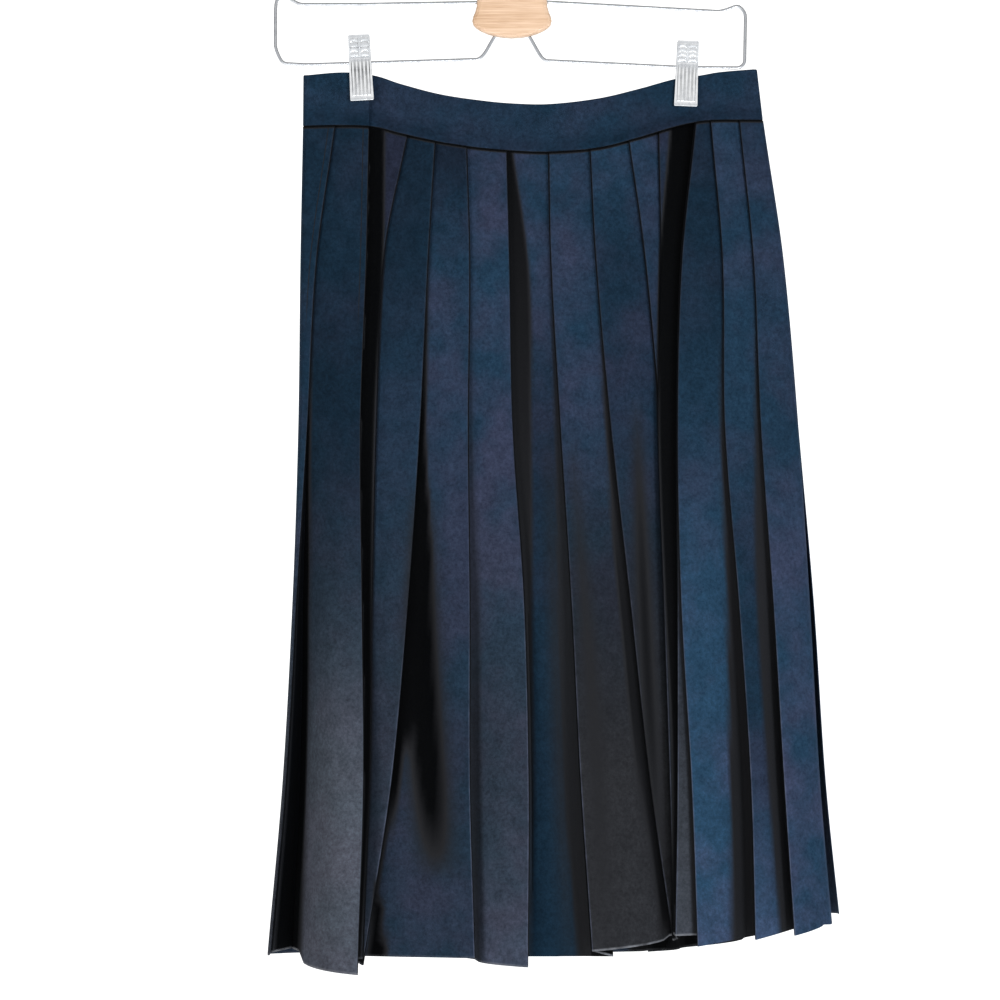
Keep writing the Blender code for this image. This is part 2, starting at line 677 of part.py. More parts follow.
def jaw_rows(clip, behind):
    """The folded steel channel of one jaw, from its handle down to its foot."""
    touch = clip.cloth_half + SEAM_GAP
    spring_seat = SPRING_OUTER + SEAM_GAP + CLIP_PLATE / 2
    wire_seat = WIRE_RADIUS + WIRE_CLEARANCE
    plate_seat = touch + JAW_DEPTH
    shoulder_plate = mix(spring_seat, plate_seat, SHOULDER_PLATE)
    shoulder_flange = mix(wire_seat, touch, SHOULDER_FLANGE)
    spots = [spot._replace(height=spot.height * clip.handle) for spot in HANDLE_SPOTS]
    spots += [
        JawSpot(0.0, spring_seat, wire_seat),
        JawSpot(-JAW_SHOULDER, shoulder_plate, shoulder_flange),
        JawSpot(-JAW_START, plate_seat, touch),
        JawSpot(FOOT_LIP - clip.jaw, plate_seat, touch),
        JawSpot(-clip.jaw, touch + FOOT_DEPTH, touch),
    ]
    rows = []
    for z, plate, flange in spots:
        share = (clip.handle - z) / (clip.handle + clip.jaw)
        half = mix(CLIP_TOP_WIDTH, CLIP_FOOT_WIDTH, share) / 2 - CLIP_PLATE / 2
        row = [(-half, -flange, z), (-half, -plate, z), (half, -plate, z), (half, -flange, z)]
        rows.append([(x, y * behind, z) for x, y, z in row])
    return rows


def spring_mesh(name):
    """The clip's spring as a short tube that turns on the wire."""
    shape = bmesh.new()
    rings = []
    half = SPRING_LENGTH / 2
    for x, radius in ((-half, SPRING_OUTER), (half, SPRING_OUTER),
                      (half, SPRING_INNER), (-half, SPRING_INNER)):
        ring = []
        for side in range(SPRING_SIDES):
            angle = 2 * math.pi * side / SPRING_SIDES
            corner = (x, radius * math.cos(angle), radius * math.sin(angle))
            ring.append(shape.verts.new([value * MM for value in corner]))
        rings.append(ring)
    for number, ring in enumerate(rings):
        after = rings[(number + 1) % len(rings)]
        for side in range(SPRING_SIDES):
            turn = (side + 1) % SPRING_SIDES
            shape.faces.new((ring[side], ring[turn], after[turn], after[side]))
    bmesh.ops.recalc_face_normals(shape, faces=shape.faces)
    mesh = bpy.data.meshes.new(name)
    shape.to_mesh(mesh)
    shape.free()
    mesh.shade_smooth()
    mesh.set_sharp_from_angle(angle=SMOOTH_ANGLE)
    return mesh


def make_clip(clip):
    """Both jaws and the spring of a clip, tilted as one on the wire."""
    pieces = []
    for name, behind in (("front_jaw", 1), ("back_jaw", -1)):
        rows = jaw_rows(clip, behind)
        pieces.append(make_wall(clip.name + "_" + name, rows, CLIP_PLATE, CHROME))
    name = clip.name + "_spring"
    pieces.append(link_object(name, spring_mesh(name), CHROME))
    for piece in pieces:
        piece.location = (clip.x * MM, 0, -clip.wire_drop * MM)
        piece.rotation_euler = (0, math.radians(clip.tilt), 0)


def make_skirt():
    """The lap, the front under it, and the back."""
    front = skirt_rows(LEFT_FOLDS, RIGHT_FOLDS, LEFT_SIDE, FRONT_RIGHT_SIDE, 1)
    for name, rows in zip(("skirt_lap", "skirt_front"), front):
        make_wall(name, rows, CLOTH, NAVY)
    back = skirt_rows(back_folds(-1), back_folds(1), LEFT_SIDE, BACK_RIGHT_SIDE, -1)
    make_wall("skirt_back", back[0], CLOTH, NAVY)


def make_waistband():
    """The band of each piece, in one line round the waist."""
    lap_end = LEFT_FOLDS[1].x200
    lap = band_rows(None, lap_end, lap_band_y, True, False, 1)
    front = band_rows(LAP_START, None, front_band_y, False, True, 1)
    back = band_rows(None, None, back_band_y, True, True, -1)
    make_wall("waistband_lap", lap, BAND, NAVY)
    make_wall("waistband_front", front, BAND, NAVY)
    make_wall("waistband_back", back, BAND, NAVY)


def make_hanger():
    """Hook, wooden middle, the two bent wires and the clips."""
    make_wire("hanger_hook", hook_route(), HOOK_WIRE_RADIUS)
    make_wood()
    make_wire("hanger_wire_left", rounded_route(LEFT_WIRE_ROUTE, WIRE_BEND), WIRE_RADIUS)
    make_wire("hanger_wire_right", rounded_route(RIGHT_WIRE_ROUTE, WIRE_BEND), WIRE_RADIUS)
    for clip in CLIPS:
        make_clip(clip)


def clear_scene():
    for item in list(bpy.data.objects):
        bpy.data.objects.remove(item, do_unlink=True)


def main():
    clear_scene()
    make_skirt()
    make_waistband()
    make_hanger()


main()
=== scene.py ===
import math
from collections import namedtuple

import bmesh
import bpy
import numpy as np
from mathutils import Matrix, Vector


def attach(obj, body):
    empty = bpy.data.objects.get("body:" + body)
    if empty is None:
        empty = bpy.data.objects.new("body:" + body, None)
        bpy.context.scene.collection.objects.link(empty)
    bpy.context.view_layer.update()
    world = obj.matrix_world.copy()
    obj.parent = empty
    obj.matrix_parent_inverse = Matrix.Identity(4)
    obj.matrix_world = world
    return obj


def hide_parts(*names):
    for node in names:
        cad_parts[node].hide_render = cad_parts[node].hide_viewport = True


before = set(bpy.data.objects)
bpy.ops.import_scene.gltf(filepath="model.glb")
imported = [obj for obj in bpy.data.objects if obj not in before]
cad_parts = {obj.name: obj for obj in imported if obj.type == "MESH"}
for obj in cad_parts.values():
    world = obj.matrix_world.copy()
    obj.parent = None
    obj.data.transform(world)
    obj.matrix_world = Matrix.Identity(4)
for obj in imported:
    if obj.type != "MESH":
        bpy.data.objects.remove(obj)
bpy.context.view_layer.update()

# The skirt's pleats are drawn row by row from the tables below. Sizes are in millimetres,
# and a drop is a distance below the hook.
MM = 0.001
BODY = "root"

# Cloth and how its layers lie on each other
CLOTH = 0.7
LAYER = 1.6
TURN = LAYER / 2
BAND = 1.8
BAND_LAYER = 2.4
SEAM_GAP = 0.12
HALF_GAP = SEAM_GAP / 2

# How far the cloth lies from the middle at the sides, and how much further it bows out
# between them, at the waist and at the hem
SIDE_DEPTH_TOP = 5.5
SIDE_DEPTH_HEM = 10.0
BOW_TOP = 8.0
BOW_HEM = 40.0
BOW_GROWTH = 0.9
BOW_POWER = 3.0

# Rows of the shells, from the waist seam at 0 to the hem at 1
ROW_COUNT = 104
HEM_ROUND = 0.0016
HEM_RIM = 1 - 1.5 * HEM_ROUND
SEAM_LINE_START = 0.0012
SEAM_LINE_END = 0.0035
SEAM_SHADE = 0.9
# How much of a crisp edge's painted highlight shows while the pleats are stitched down
STITCHED_PAINTED_HIGHLIGHT = 0.2
STITCH_END = 0.36
OPENING_START = 0.33
FULLY_OPEN = 0.86
SEAM_DROP = 200.0
HEM_DROP = 833.0

# Points along each part of a pleat, and how its rounds and strips are measured out
PANEL_STEPS = 12
HIDDEN_STEPS = 3
UNDER_STEPS = 4
TURN_STEPS = 4
TURN_SHADE = 0.45
SIDE_STEPS = 5
MIDDLE_STEPS = 8
MIDDLE_REACH = 0.92
SIDE_ROUND = 3.0
FIRST_STRIP = 0.14
EDGE_LINE = 1.3
TIGHTEST_PANEL = 2.0
SINK_AT_INNER_FOLD = 0.35
OPEN_FOLD_REACH = 4.0
OPEN_SHELF = 0.12
CLOSED_SHELF = 0.5
FLAT_STRIP = 12.0
OPEN_TURN_END = math.radians(10)
# How much painted highlight a crisp edge's last spot takes before its round, and the round's last spot after
# it
HIGHLIGHT_BEFORE_ROUND = 0.7
HIGHLIGHT_AFTER_ROUND = 0.3
HEM_THINNING = 0.5
SHARP_ANGLE = math.radians(60)

# Limits that keep the corners of the walls apart
SIDE_SHARE = 0.35
LEAST_STEP = 0.3
SHARPEST_MITRE = 0.6

# Small lengths that stand in for nothing
NEARLY = 1e-6
TINY = 1e-9

STATIONS = (200, 295, 425, 560, 700, 820)
DEPTH_LEVELS = (0.0, STITCH_END, 1.0)

Edge = namedtuple("Edge", "name x200 x295 x425 x560 x700 x820")
LEFT_SIDE = Edge("left_side", -162.6, -164.4, -166.1, -170.6, -178.3, -188.8)
FRONT_RIGHT_SIDE = Edge("front_right_side", 197.3, 211.2, 222.7, 231.5, 239.5, 249.7)
BACK_RIGHT_SIDE = Edge("back_right_side", 197.3, 211.2, 222.7, 234.6, 243.9, 256.2)

# One row for each pleat, from the side seam to the middle of the front. A row gives the
# crisp edge's X at each station, its depth behind the front's surface at three levels,
# how far the cloth turns back under it, how far the next panel sinks beside it, how
# quickly its own panel rolls forward, its panel's hem drop at both ends, and how the hem
# runs between them: 1 straight, less with a rounded corner at the near end.
Fold = namedtuple(
    "Fold",
    "name x200 x295 x425 x560 x700 x820 deep_top deep_stitch deep_hem "
    "under_top under_hem sink_top sink_hem roll hem_near hem_far hem_round",
)
LAP_EDGE = "lap_edge"
BACK_FOLD = "back_fold"
LEFT_FOLDS = (
    Fold("side_tuck", -139, -152, -159, -167, -176, -186, 0, 0, 0, 10, -15, 0, 20, 1.0, 834, 832, 1),
    Fold(LAP_EDGE, -111, -113, -117.4, -116, -114.7, -118.3, 0, 0, -12, 24, 30, 1, 14, 3.0, 829, 848, 0.25),
    Fold("deep_tuck", -82, -99.6, -105.5, -108.7, -110.4, -115.2, 3, 4, 4, 10, 8, 0, 1, 1.0, 836, 836, 1),
    Fold("left_outer", -59.7, -65.3, -71.5, -80.7, -93.5, -112, 0, 0, 7.4, 12, 8, 0, 3, 1.2, 837, 841, 1),
    Fold("left_middle", -35.7, -33.1, -34.1, -32.8, -32.6, -29.3, 0, 0, -2, 12, 16, 0, 8, 1.5, 834, 835, 1),
    Fold("left_inner", -4.7, -2.2, 0.5, 9.3, 12.8, 12.3, 0, 0, -5, 12, 16, 0, 10, 1.3, 834, 842, 0.4),
)
RIGHT_FOLDS = (
    Fold("right_side", 178.2, 187.6, 193.1, 202.6, 210.9, 218.9, 0, 0, -4, 10, 12, 0, 10, 1.5, 810, 818, 0.7),
    Fold("right_outer", 155.6, 163.5, 165.1, 175.8, 185, 188.3, 0, 0, -4, 10, 12, 0, 10, 2.0, 810, 821, 1),
    Fold("right_bright", 141.7, 131.8, 128.4, 131.1, 139, 143.4, 0, 0, -5, 8, 10, 0, 2, 2.0, 816, 826, 1),
    Fold("right_return", 140.7, 130.8, 127.5, 128.2, 128.2, 126.4, 3.4, 3.4, 0, 8, 8, 1, 3, 1.0, 817, 818, 1),
    Fold("dark_tuck", 114.2, 115.8, 113.6, 117.8, 122.3, 125.2, 5, 6, 7, 8, 8, 0, 1, 1.0, 817, 817, 1),
    Fold("short_tuck", 90.7, 103.4, 114.4, 118.6, 123.1, 126, 1, 9.4, 10.4, 8, 6, 0, 1, 1.0, 818, 818, 1),
    Fold("right_middle", 60.5, 65.3, 76.7, 91.6, 107.1, 124.4, 0, 0, 13.8, 8, 6, 0, 1, 1.2, 821, 822, 1),
    Fold("right_inner", 28.7, 30.4, 37.7, 46.2, 53.3, 61.4, 0, 0, 0, 12, 16, 0, 8, 1.3, 818, 830, 0.45),
)
MIDDLE_HEM = 834

# The shadowed hollow beside a crisp edge: its width at each station, how far the cloth
# beside the edge sinks into it at the waist and at the hem, and how dark its painted shadow
# is there
Hollow = namedtuple(
    "Hollow", "name w200 w295 w425 w560 w700 w820 sunk_top sunk_hem dark_top dark_hem"
)
HOLLOWS = {
    hollow.name: hollow for hollow in (
        Hollow("side_tuck", 0, 0, 2, 9, 15, 21, 0.0, 2.0, 1.0, 1.0),
        Hollow(LAP_EDGE, 12, 13, 11, 7.5, 5, 2.5, 1.5, 1.0, 1.0, 1.0),
        Hollow("left_outer", 0, 1, 5, 18, 7, 0, 0.4, 1.0, 1.0, 1.0),
        Hollow("left_middle", 0, 1, 4, 8, 8, 6, 0.3, 2.0, 0.1, 0.4),
        Hollow("left_inner", 5, 15, 14, 6, 4, 3, 1.0, 3.0, 0.9, 0.3),
        Hollow("right_side", 0, 0, 4, 13, 13, 12, 0.3, 2.0, 0.5, 0.5),
        Hollow("right_outer", 0, 0, 3, 9, 16, 18, 0.3, 3.0, 0.5, 0.6),
        Hollow("right_bright", 0, 0, 0, 2, 3, 4, 0.0, 0.5, 0.5, 0.5),
        Hollow("right_return", 19, 17, 14, 10, 4, 4, 0.0, 0.0, 1.0, 0.9),
        Hollow("right_middle", 0, 0, 4, 9, 9, 6, 0.3, 1.0, 0.6, 0.9),
        Hollow("right_inner", 0, 1, 5, 12, 14, 12, 0.4, 2.0, 0.4, 0.5),
        Hollow(BACK_FOLD, 0, 1, 3, 8, 12, 14, 0.3, 2.5, 0.5, 0.8),
    )
}
HOLLOW_EDGE = 2.0
HOLLOW_RISE_START = 0.4
HOLLOW_RISE_END = 1.3

# The painted light and shade of each panel's colour at each station, beside 1 for a panel in
# full light, how grey it turns towards the hem, and how greenish blue it is at the waist and
# at the hem
Tone = namedtuple("Tone", "name t200 t295 t425 t560 t700 t820 grey teal_top teal_hem")
MIDDLE = "middle"
GREY_START = 0.3
GREY_END = 0.8
PANEL_PAINTED_LIGHT = {
    tone.name: tone for tone in (
        Tone("side_tuck", 0.62, 0.7, 0.8, 1.0, 1.0, 1.0, 0.9, 0.5, 0.0),
        Tone(LAP_EDGE, 0.62, 0.62, 0.55, 0.95, 2.0, 1.95, 0.8, 0.6, 0.0),
        Tone("deep_tuck", 0.5, 0.5, 0.4, 0.4, 0.6, 0.5, 0.5, 0.0, 0.0),
        Tone("left_outer", 0.55, 0.6, 0.85, 0.85, 0.95, 1.15, 0.5, 0.8, 0.0),
        Tone("left_middle", 0.42, 0.9, 0.95, 0.85, 0.78, 0.86, 0.2, 0.2, 0.1),
        Tone("left_inner", 0.9, 1.05, 1.0, 1.0, 1.0, 1.4, 0.5, 0.0, 0.0),
        Tone(MIDDLE, 0.95, 0.95, 0.6, 0.66, 0.66, 0.66, 0.0, 0.0, 1.0),
        Tone("right_inner", 0.95, 0.95, 0.9, 0.58, 0.68, 0.72, 1.0, 0.1, 0.2),
        Tone("right_middle", 1.05, 0.7, 0.75, 0.58, 0.62, 0.62, 1.0, 0.2, 0.2),
        Tone("short_tuck", 1.0, 0.85, 0.6, 0.6, 0.66, 0.66, 0.9, 0.2, 0.0),
        Tone("dark_tuck", 0.7, 0.5, 0.4, 0.4, 0.4, 0.4, 0.8, 0.0, 0.0),
        Tone("right_return", 0.5, 0.4, 0.4, 0.7, 1.0, 1.35, 0.85, 0.0, 0.0),
        Tone("right_bright", 0.55, 0.6, 0.85, 1.3, 1.4, 1.5, 0.0, 0.6, 0.2),
        Tone("right_outer", 0.95, 0.95, 0.95, 0.72, 0.82, 1.5, 0.0, 0.3, 0.3),
        Tone("right_side", 0.75, 0.9, 0.9, 1.1, 1.15, 1.25, 0.0, 0.3, 0.0),
    )
}
PLAIN_PAINTED_LIGHT = Tone("plain", 0.8, 0.9, 0.95, 1.0, 1.0, 1.0, 0.2, 0.2, 0.2)

# Soft troughs and ridges in the panels, each along a bent line from one drop to another,
# with its width at both ends. A positive depth is a trough. Dark is the painted shade that it
# lays along its line.
Crease = namedtuple(
    "Crease", "x_high x_middle x_low drop_high drop_low width_high width_low depth dark"
)
FRONT_CREASES = (
    Crease(-105, -105, -104.5, 772, 880, 1.5, 8, 0.4, 2.4),
    Crease(-70, -69, -58, 470, 775, 8, 14, 6.0, 1.6),
    Crease(-158, -164, -172, 480, 850, 6, 6, 1.2, 0.0),
    Crease(-132, -136, -140, 330, 820, 9, 9, -1.2, 0.0),
    Crease(-90, -94, -100, 240, 600, 7, 7, -0.8, 0.0),
    Crease(-12, -8, -6, 380, 800, 9, 9, -1.4, 0.0),
    Crease(-50, -46, -44, 300, 560, 7, 7, 0.8, 0.0),
    Crease(46, 62, 74, 430, 840, 5, 9, 1.6, 0.5),
    Crease(96, 104, 116, 400, 790, 5, 8, 1.6, 0.8),
    Crease(28, 36, 46, 420, 860, 6, 9, 1.4, 0.35),
    Crease(80, 90, 100, 240, 520, 8, 8, 0.7, 0.0),
    Crease(148, 154, 158, 420, 830, 7, 7, -1.2, 0.0),
    Crease(210, 220, 226, 320, 800, 8, 8, 1.0, 0.0),
)
BACK_CREASES = (
    Crease(-120, -128, -134, 380, 830, 6, 11, 1.8, 0.3),
    Crease(-58, -52, -48, 300, 700, 6, 9, -1.3, 0.0),
    Crease(18, 26, 30, 420, 830, 6, 12, 2.0, 0.4),
    Crease(84, 96, 102, 330, 760, 6, 10, -1.5, 0.0),
    Crease(150, 166, 176, 400, 810, 5, 10, 1.8, 0.3),
)
CREASE_ENDS = 0.7

# Slow uneven waves in the hanging cloth, growing between two drops: their lengths across
# and down, and their share of the depth
Wave = namedtuple("Wave", "across down share turn")
SWAY_WAVES = (Wave(17, 190, 1, 1), Wave(9.3, -130, 0.6, 2))
SWAY_DEPTH = 0.9
SWAY_START = 260
SWAY_END = 900

# The back is pleated evenly towards the middle of the back
BACK_FOLDS_A_SIDE = 5
BACK_SPREAD = 5.7
BACK_UNEVEN = 0.035
BACK_UNEVEN_TURN = 2.3
BACK_UNEVEN_RUN = 260
BACK_UNDER = (11, 14)
BACK_SINK = (0, 9)
BACK_ROLL = 1.4
BACK_HEM_DEEP = -2
BACK_HEM_STEP = 2
BACK_HEM_ROUND = 0.5
BACK_RIPPLE = 3
BACK_RIPPLE_TURN = 1.9
HemSpot = namedtuple("HemSpot", "x drop")
BACK_HEM_SPOTS = (
    HemSpot(-189, 834), HemSpot(-60, 833), HemSpot(20, 833.5), HemSpot(80, 834), HemSpot(108, 833.5),
    HemSpot(135, 830), HemSpot(165, 828.5), HemSpot(188, 818), HemSpot(215, 808.5), HemSpot(256, 802.5),
)

# The waistband: its top edge and the seam below it
BandSpot = namedtuple("BandSpot", "x top seam")
BAND_SPOTS = (
    BandSpot(-162, 151.0, 190.8),
    BandSpot(-130, 148.6, 190.3),
    BandSpot(-106, 151.2, 191.6),
    BandSpot(-87, 157.4, 196.4),
    BandSpot(-56, 165.6, 203.2),
    BandSpot(-25, 170.4, 207.8),
    BandSpot(0, 172.8, 210.0),
    BandSpot(29, 173.3, 210.9),
    BandSpot(68, 168.7, 207.6),
    BandSpot(99, 161.3, 199.6),
    BandSpot(127, 153.6, 191.2),
    BandSpot(146, 151.0, 187.2),
    BandSpot(161, 148.4, 186.1),
    BandSpot(192, 145.8, 186.1),
)
BAND_LEFT_TOP = -162.1
BAND_LEFT_SEAM = -162.4
BAND_RIGHT_TOP = 190.4
BAND_RIGHT_SEAM = 195.0
BAND_STEP = 2.5
BAND_STACK_DEPTH = 2.4
BAND_BOW = 6.0
LAP_START = -134.0
LAP_RAMP_START = -105.0
LAP_RAMP_END = -90.0
LAP_STACK_DEPTH = 1.4
CLIPPED_SHARE = 0.66
BAND_FALL_END = 1.1
CLIPPED_HALF_WIDTH = 12.0
CLIP_PLACES = (-117.9, 136.1)
BAND_TONE = 0.8
BAND_TEAL = 0.4
BAND_SEAM_START = 0.985
BAND_SEAM_PAINTED_SHADE = 0.9
PUCKER_DEPTH = 0.25
PUCKER_SHORT = 5.1
PUCKER_LONG = 13.7
PUCKER_TURN = 2

# A point of a centre line: its place, the drop of the hem below it, how much painted
# highlight it takes on a crisp edge and painted shadow in a hollow, its painted light and
# shade, its greyness and greenish blue, and its distances inwards from its own panel's crisp
# edge and outwards from the edge that covers its start, and how much painted highlight it
# takes on the hem's rim
FAR = 60.0
Spot = namedtuple(
    "Spot", "x deep hem fold hollow tone grey teal inward outward rim",
    defaults=(0.0, 0.0, 1.0, 0.0, 0.0, FAR, FAR, 0.0),
)
VALUES = Spot._fields[3:]


def mix(low, high, share):
    return low + (high - low) * share


def ease(value, low=0.0, high=1.0):
    """Rise smoothly from 0 at low to 1 at high."""
    share = min(max((value - low) / (high - low), 0.0), 1.0)
    return share * share * (3 - 2 * share)


def curve_at(stations, values, place):
    """Read a smooth curve through the values, which runs on straight at both ends."""
    last = len(stations) - 1
    slopes = []
    for index in range(last + 1):
        after = min(index + 1, last)
        before = max(index - 1, 0)
        rise = values[after] - values[before]
        slopes.append(rise / (stations[after] - stations[before]))
    if place <= stations[0]:
        return values[0] + slopes[0] * (place - stations[0])
    if place >= stations[last]:
        return values[last] + slopes[last] * (place - stations[last])
    index = max(number for number in range(last) if stations[number] <= place)
    span = stations[index + 1] - stations[index]
    t = (place - stations[index]) / span
    start_weight = (1 + 2 * t) * (1 - t) ** 2
    start_slope_weight = t * (1 - t) ** 2 * span
    end_slope_weight = t * t * (t - 1) * span
    return (
        start_weight * values[index]
        + start_slope_weight * slopes[index]
        + (1 - start_weight) * values[index + 1]
        + end_slope_weight * slopes[index + 1]
    )


def drop_at(level):
    """A row's plain drop, between the waist seam and the hem."""
    return mix(SEAM_DROP, HEM_DROP, level)


def edge_x(row, drop):
    """The X place of a side or of a fold's crisp edge at a drop."""
    return curve_at(STATIONS, row[1:7], drop)


def seam_drop(x):
    return curve_at([spot.x for spot in BAND_SPOTS], [spot.seam for spot in BAND_SPOTS], x)


def band_top_drop(x):
    return curve_at([spot.x for spot in BAND_SPOTS], [spot.top for spot in BAND_SPOTS], x)


def opening(level):
    """How far the pleats have opened: 0 while they are stitched, 1 near the hem."""
    return ease(level, OPENING_START, FULLY_OPEN)


def surface_y(x, level, left, right):
    """The outer surface of a panel, bowed out from its two sides."""
    low = edge_x(left, drop_at(level))
    high = edge_x(right, drop_at(level))
    across = min(abs(2 * (x - low) / (high - low) - 1), 1.0)
    bow = mix(BOW_TOP, BOW_HEM, level ** BOW_GROWTH)
    return -mix(SIDE_DEPTH_TOP, SIDE_DEPTH_HEM, level) - bow * math.sqrt(1 - across ** BOW_POWER)


def deep_on(panel, x):
    """The depth of a panel's line at x, held level beyond its ends."""
    if x <= panel[0].x:
        return panel[0].deep
    for near, far in zip(panel, panel[1:]):
        if x <= far.x:
            share = (x - near.x) / max(far.x - near.x, TINY)
            return mix(near.deep, far.deep, share)
    return panel[-1].deep


def part_way(near, far, share):
    """A hidden spot part of the way along a straight layer, painted in full shadow."""
    return Spot(
        mix(near.x, far.x, share), mix(near.deep, far.deep, share),
        mix(near.hem, far.hem, share), hollow=1.0,
    )


def panel_to_edge(begin, shelf, edge, fold):
    """A panel's line from the fold that it leaves to its own crisp edge."""
    line = [part_way(begin, shelf, step / HIDDEN_STEPS) for step in range(HIDDEN_STEPS)]
    width = edge.x - TURN - shelf.x
    last_share = 1 - min(EDGE_LINE / max(width, NEARLY), 0.5)
    shares = [last_share * step / PANEL_STEPS for step in range(PANEL_STEPS + 1)] + [1.0]
    for share in shares:
        deep = mix(edge.deep, shelf.deep, (1 - share) ** fold.roll)
        hem = mix(shelf.hem, edge.hem, share ** fold.hem_round)
        line.append(Spot(shelf.x + width * share, deep, hem))
    line[-1] = line[-1]._replace(fold=HIGHLIGHT_BEFORE_ROUND)
    return line


def fold_edge(fold, level, facing):
    """The crisp edge of a fold at a level, measured from the side towards the middle."""
    seam = seam_drop(fold.x200)
    drop = mix(seam, fold.hem_far, level)
    deep = curve_at(DEPTH_LEVELS, (fold.deep_top, fold.deep_stitch, fold.deep_hem), level)
    return Spot(edge_x(fold, drop) * facing, deep, fold.hem_far)


def outer_turn(edge, spread):
    """The round of a crisp edge, a half circle while the pleat is closed."""
    spots = []
    last = mix(math.pi / 2, OPEN_TURN_END, spread)
    for step in range(1, TURN_STEPS + 1):
        angle = mix(-math.pi / 2, last, step / TURN_STEPS)
        x = edge.x - TURN + TURN * math.cos(angle)
        deep = edge.deep + TURN + TURN * math.sin(angle)
        # Each spot of the round takes the crisp edge's painted highlight, and a painted shade that deepens
        # towards its end
        fold = 1 if step < TURN_STEPS else HIGHLIGHT_AFTER_ROUND
        spots.append(Spot(x, deep, edge.hem, fold, TURN_SHADE * step / TURN_STEPS))
    return spots


def inner_turn(inner, spread):
    """The round of a hidden inner fold, painted in full shadow."""
    spots = []
    for step in range(TURN_STEPS + 1):
        angle = mix(-math.pi / 2, math.pi / 2, step / TURN_STEPS)
        x = inner.x + TURN * (1 - math.cos(angle)) * (1 - spread)
        deep = inner.deep + TURN + TURN * math.sin(angle)
        spots.append(Spot(x, deep, inner.hem, hollow=1.0))
    return spots


def between(near, far):
    """Spots along a straight hidden layer, without its ends."""
    return [part_way(near, far, step / UNDER_STEPS) for step in range(1, UNDER_STEPS)]


def turn_under(panel, edge, fold, level, next_edge, next_hem):
    """Where the cloth turns back under a fold: its inner fold and the next panel's start."""
    wanted = mix(fold.under_top, fold.under_hem, level)
    reach = min(wanted, edge.x - panel[0].x - TIGHTEST_PANEL)
    spread = ease(OPEN_FOLD_REACH - reach, 0, 2 * OPEN_FOLD_REACH)
    sink = mix(fold.sink_top, fold.sink_hem, opening(level))
    inner_x = edge.x - reach
    inner_deep = deep_on(panel, inner_x) + LAYER + sink * mix(SINK_AT_INNER_FOLD, 1, spread)
    inner = Spot(inner_x, inner_deep, next_hem)
    begin = Spot(inner_x, inner_deep + LAYER, next_hem)
    closed_x = min(edge.x, mix(inner_x, next_edge.x, CLOSED_SHELF))
    shelf_x = mix(closed_x, mix(inner_x, next_edge.x, OPEN_SHELF), spread)
    across = min(max((shelf_x - inner_x) / max(reach, 1.0), 0.0), 1.0)
    closed_deep = deep_on(panel, shelf_x) + 2 * LAYER + sink * across
    shelf_deep = mix(closed_deep, begin.deep, spread)
    shelf_hem = mix(next_hem, next_edge.hem, (shelf_x - inner_x) / (next_edge.x - inner_x))
    return inner, begin, Spot(shelf_x, shelf_deep, shelf_hem), spread


def sink_and_shade(line, edges, folds, level):
    """Sink the cloth beside each crisp edge, and mark how much painted shadow it takes."""
    shaded = []
    for spot in line:
        deep, dark = spot.deep, spot.hollow
        for edge, fold in zip(edges, folds):
            hollow = HOLLOWS.get(fold.name)
            away = spot.x - edge.x
            width = curve_at(STATIONS, hollow[1:7], drop_at(level)) if hollow else 0
            if away < 0 or width <= 0:
                continue
            sunk = mix(hollow.sunk_top, hollow.sunk_hem, level) * ease(away, 0, HOLLOW_EDGE)
            deep += sunk * (1 - ease(away, HOLLOW_RISE_START * width, HOLLOW_RISE_END * width))
            shade = min(width / HOLLOW_EDGE, 1.0) * mix(hollow.dark_top, hollow.dark_hem, level)
            dark = max(dark, shade * (1 - ease(away, width - HOLLOW_EDGE, width + HOLLOW_EDGE)))
        shaded.append(spot._replace(deep=deep, hollow=dark))
    return shaded


def with_painted_light_and_tint(spots, name, level):
    """The same spots with their panel's painted light and shade, and its greyness."""
    row = PANEL_PAINTED_LIGHT.get(name, PLAIN_PAINTED_LIGHT)
    tone = curve_at(STATIONS, row[1:7], drop_at(level))
    grey = row.grey * ease(level, GREY_START, GREY_END)
    teal = mix(row.teal_top, row.teal_hem, ease(level))
    return [spot._replace(tone=tone, grey=grey, teal=teal) for spot in spots]


def measured(spots, covering, own):
    """The same spots with their distances from the crisp edges beside them."""
    result = []
    for spot in spots:
        inward = FAR if own is None else own.x - spot.x
        outward = FAR if covering is None else spot.x - covering.x
        result.append(spot._replace(inward=inward, outward=outward))
    return result


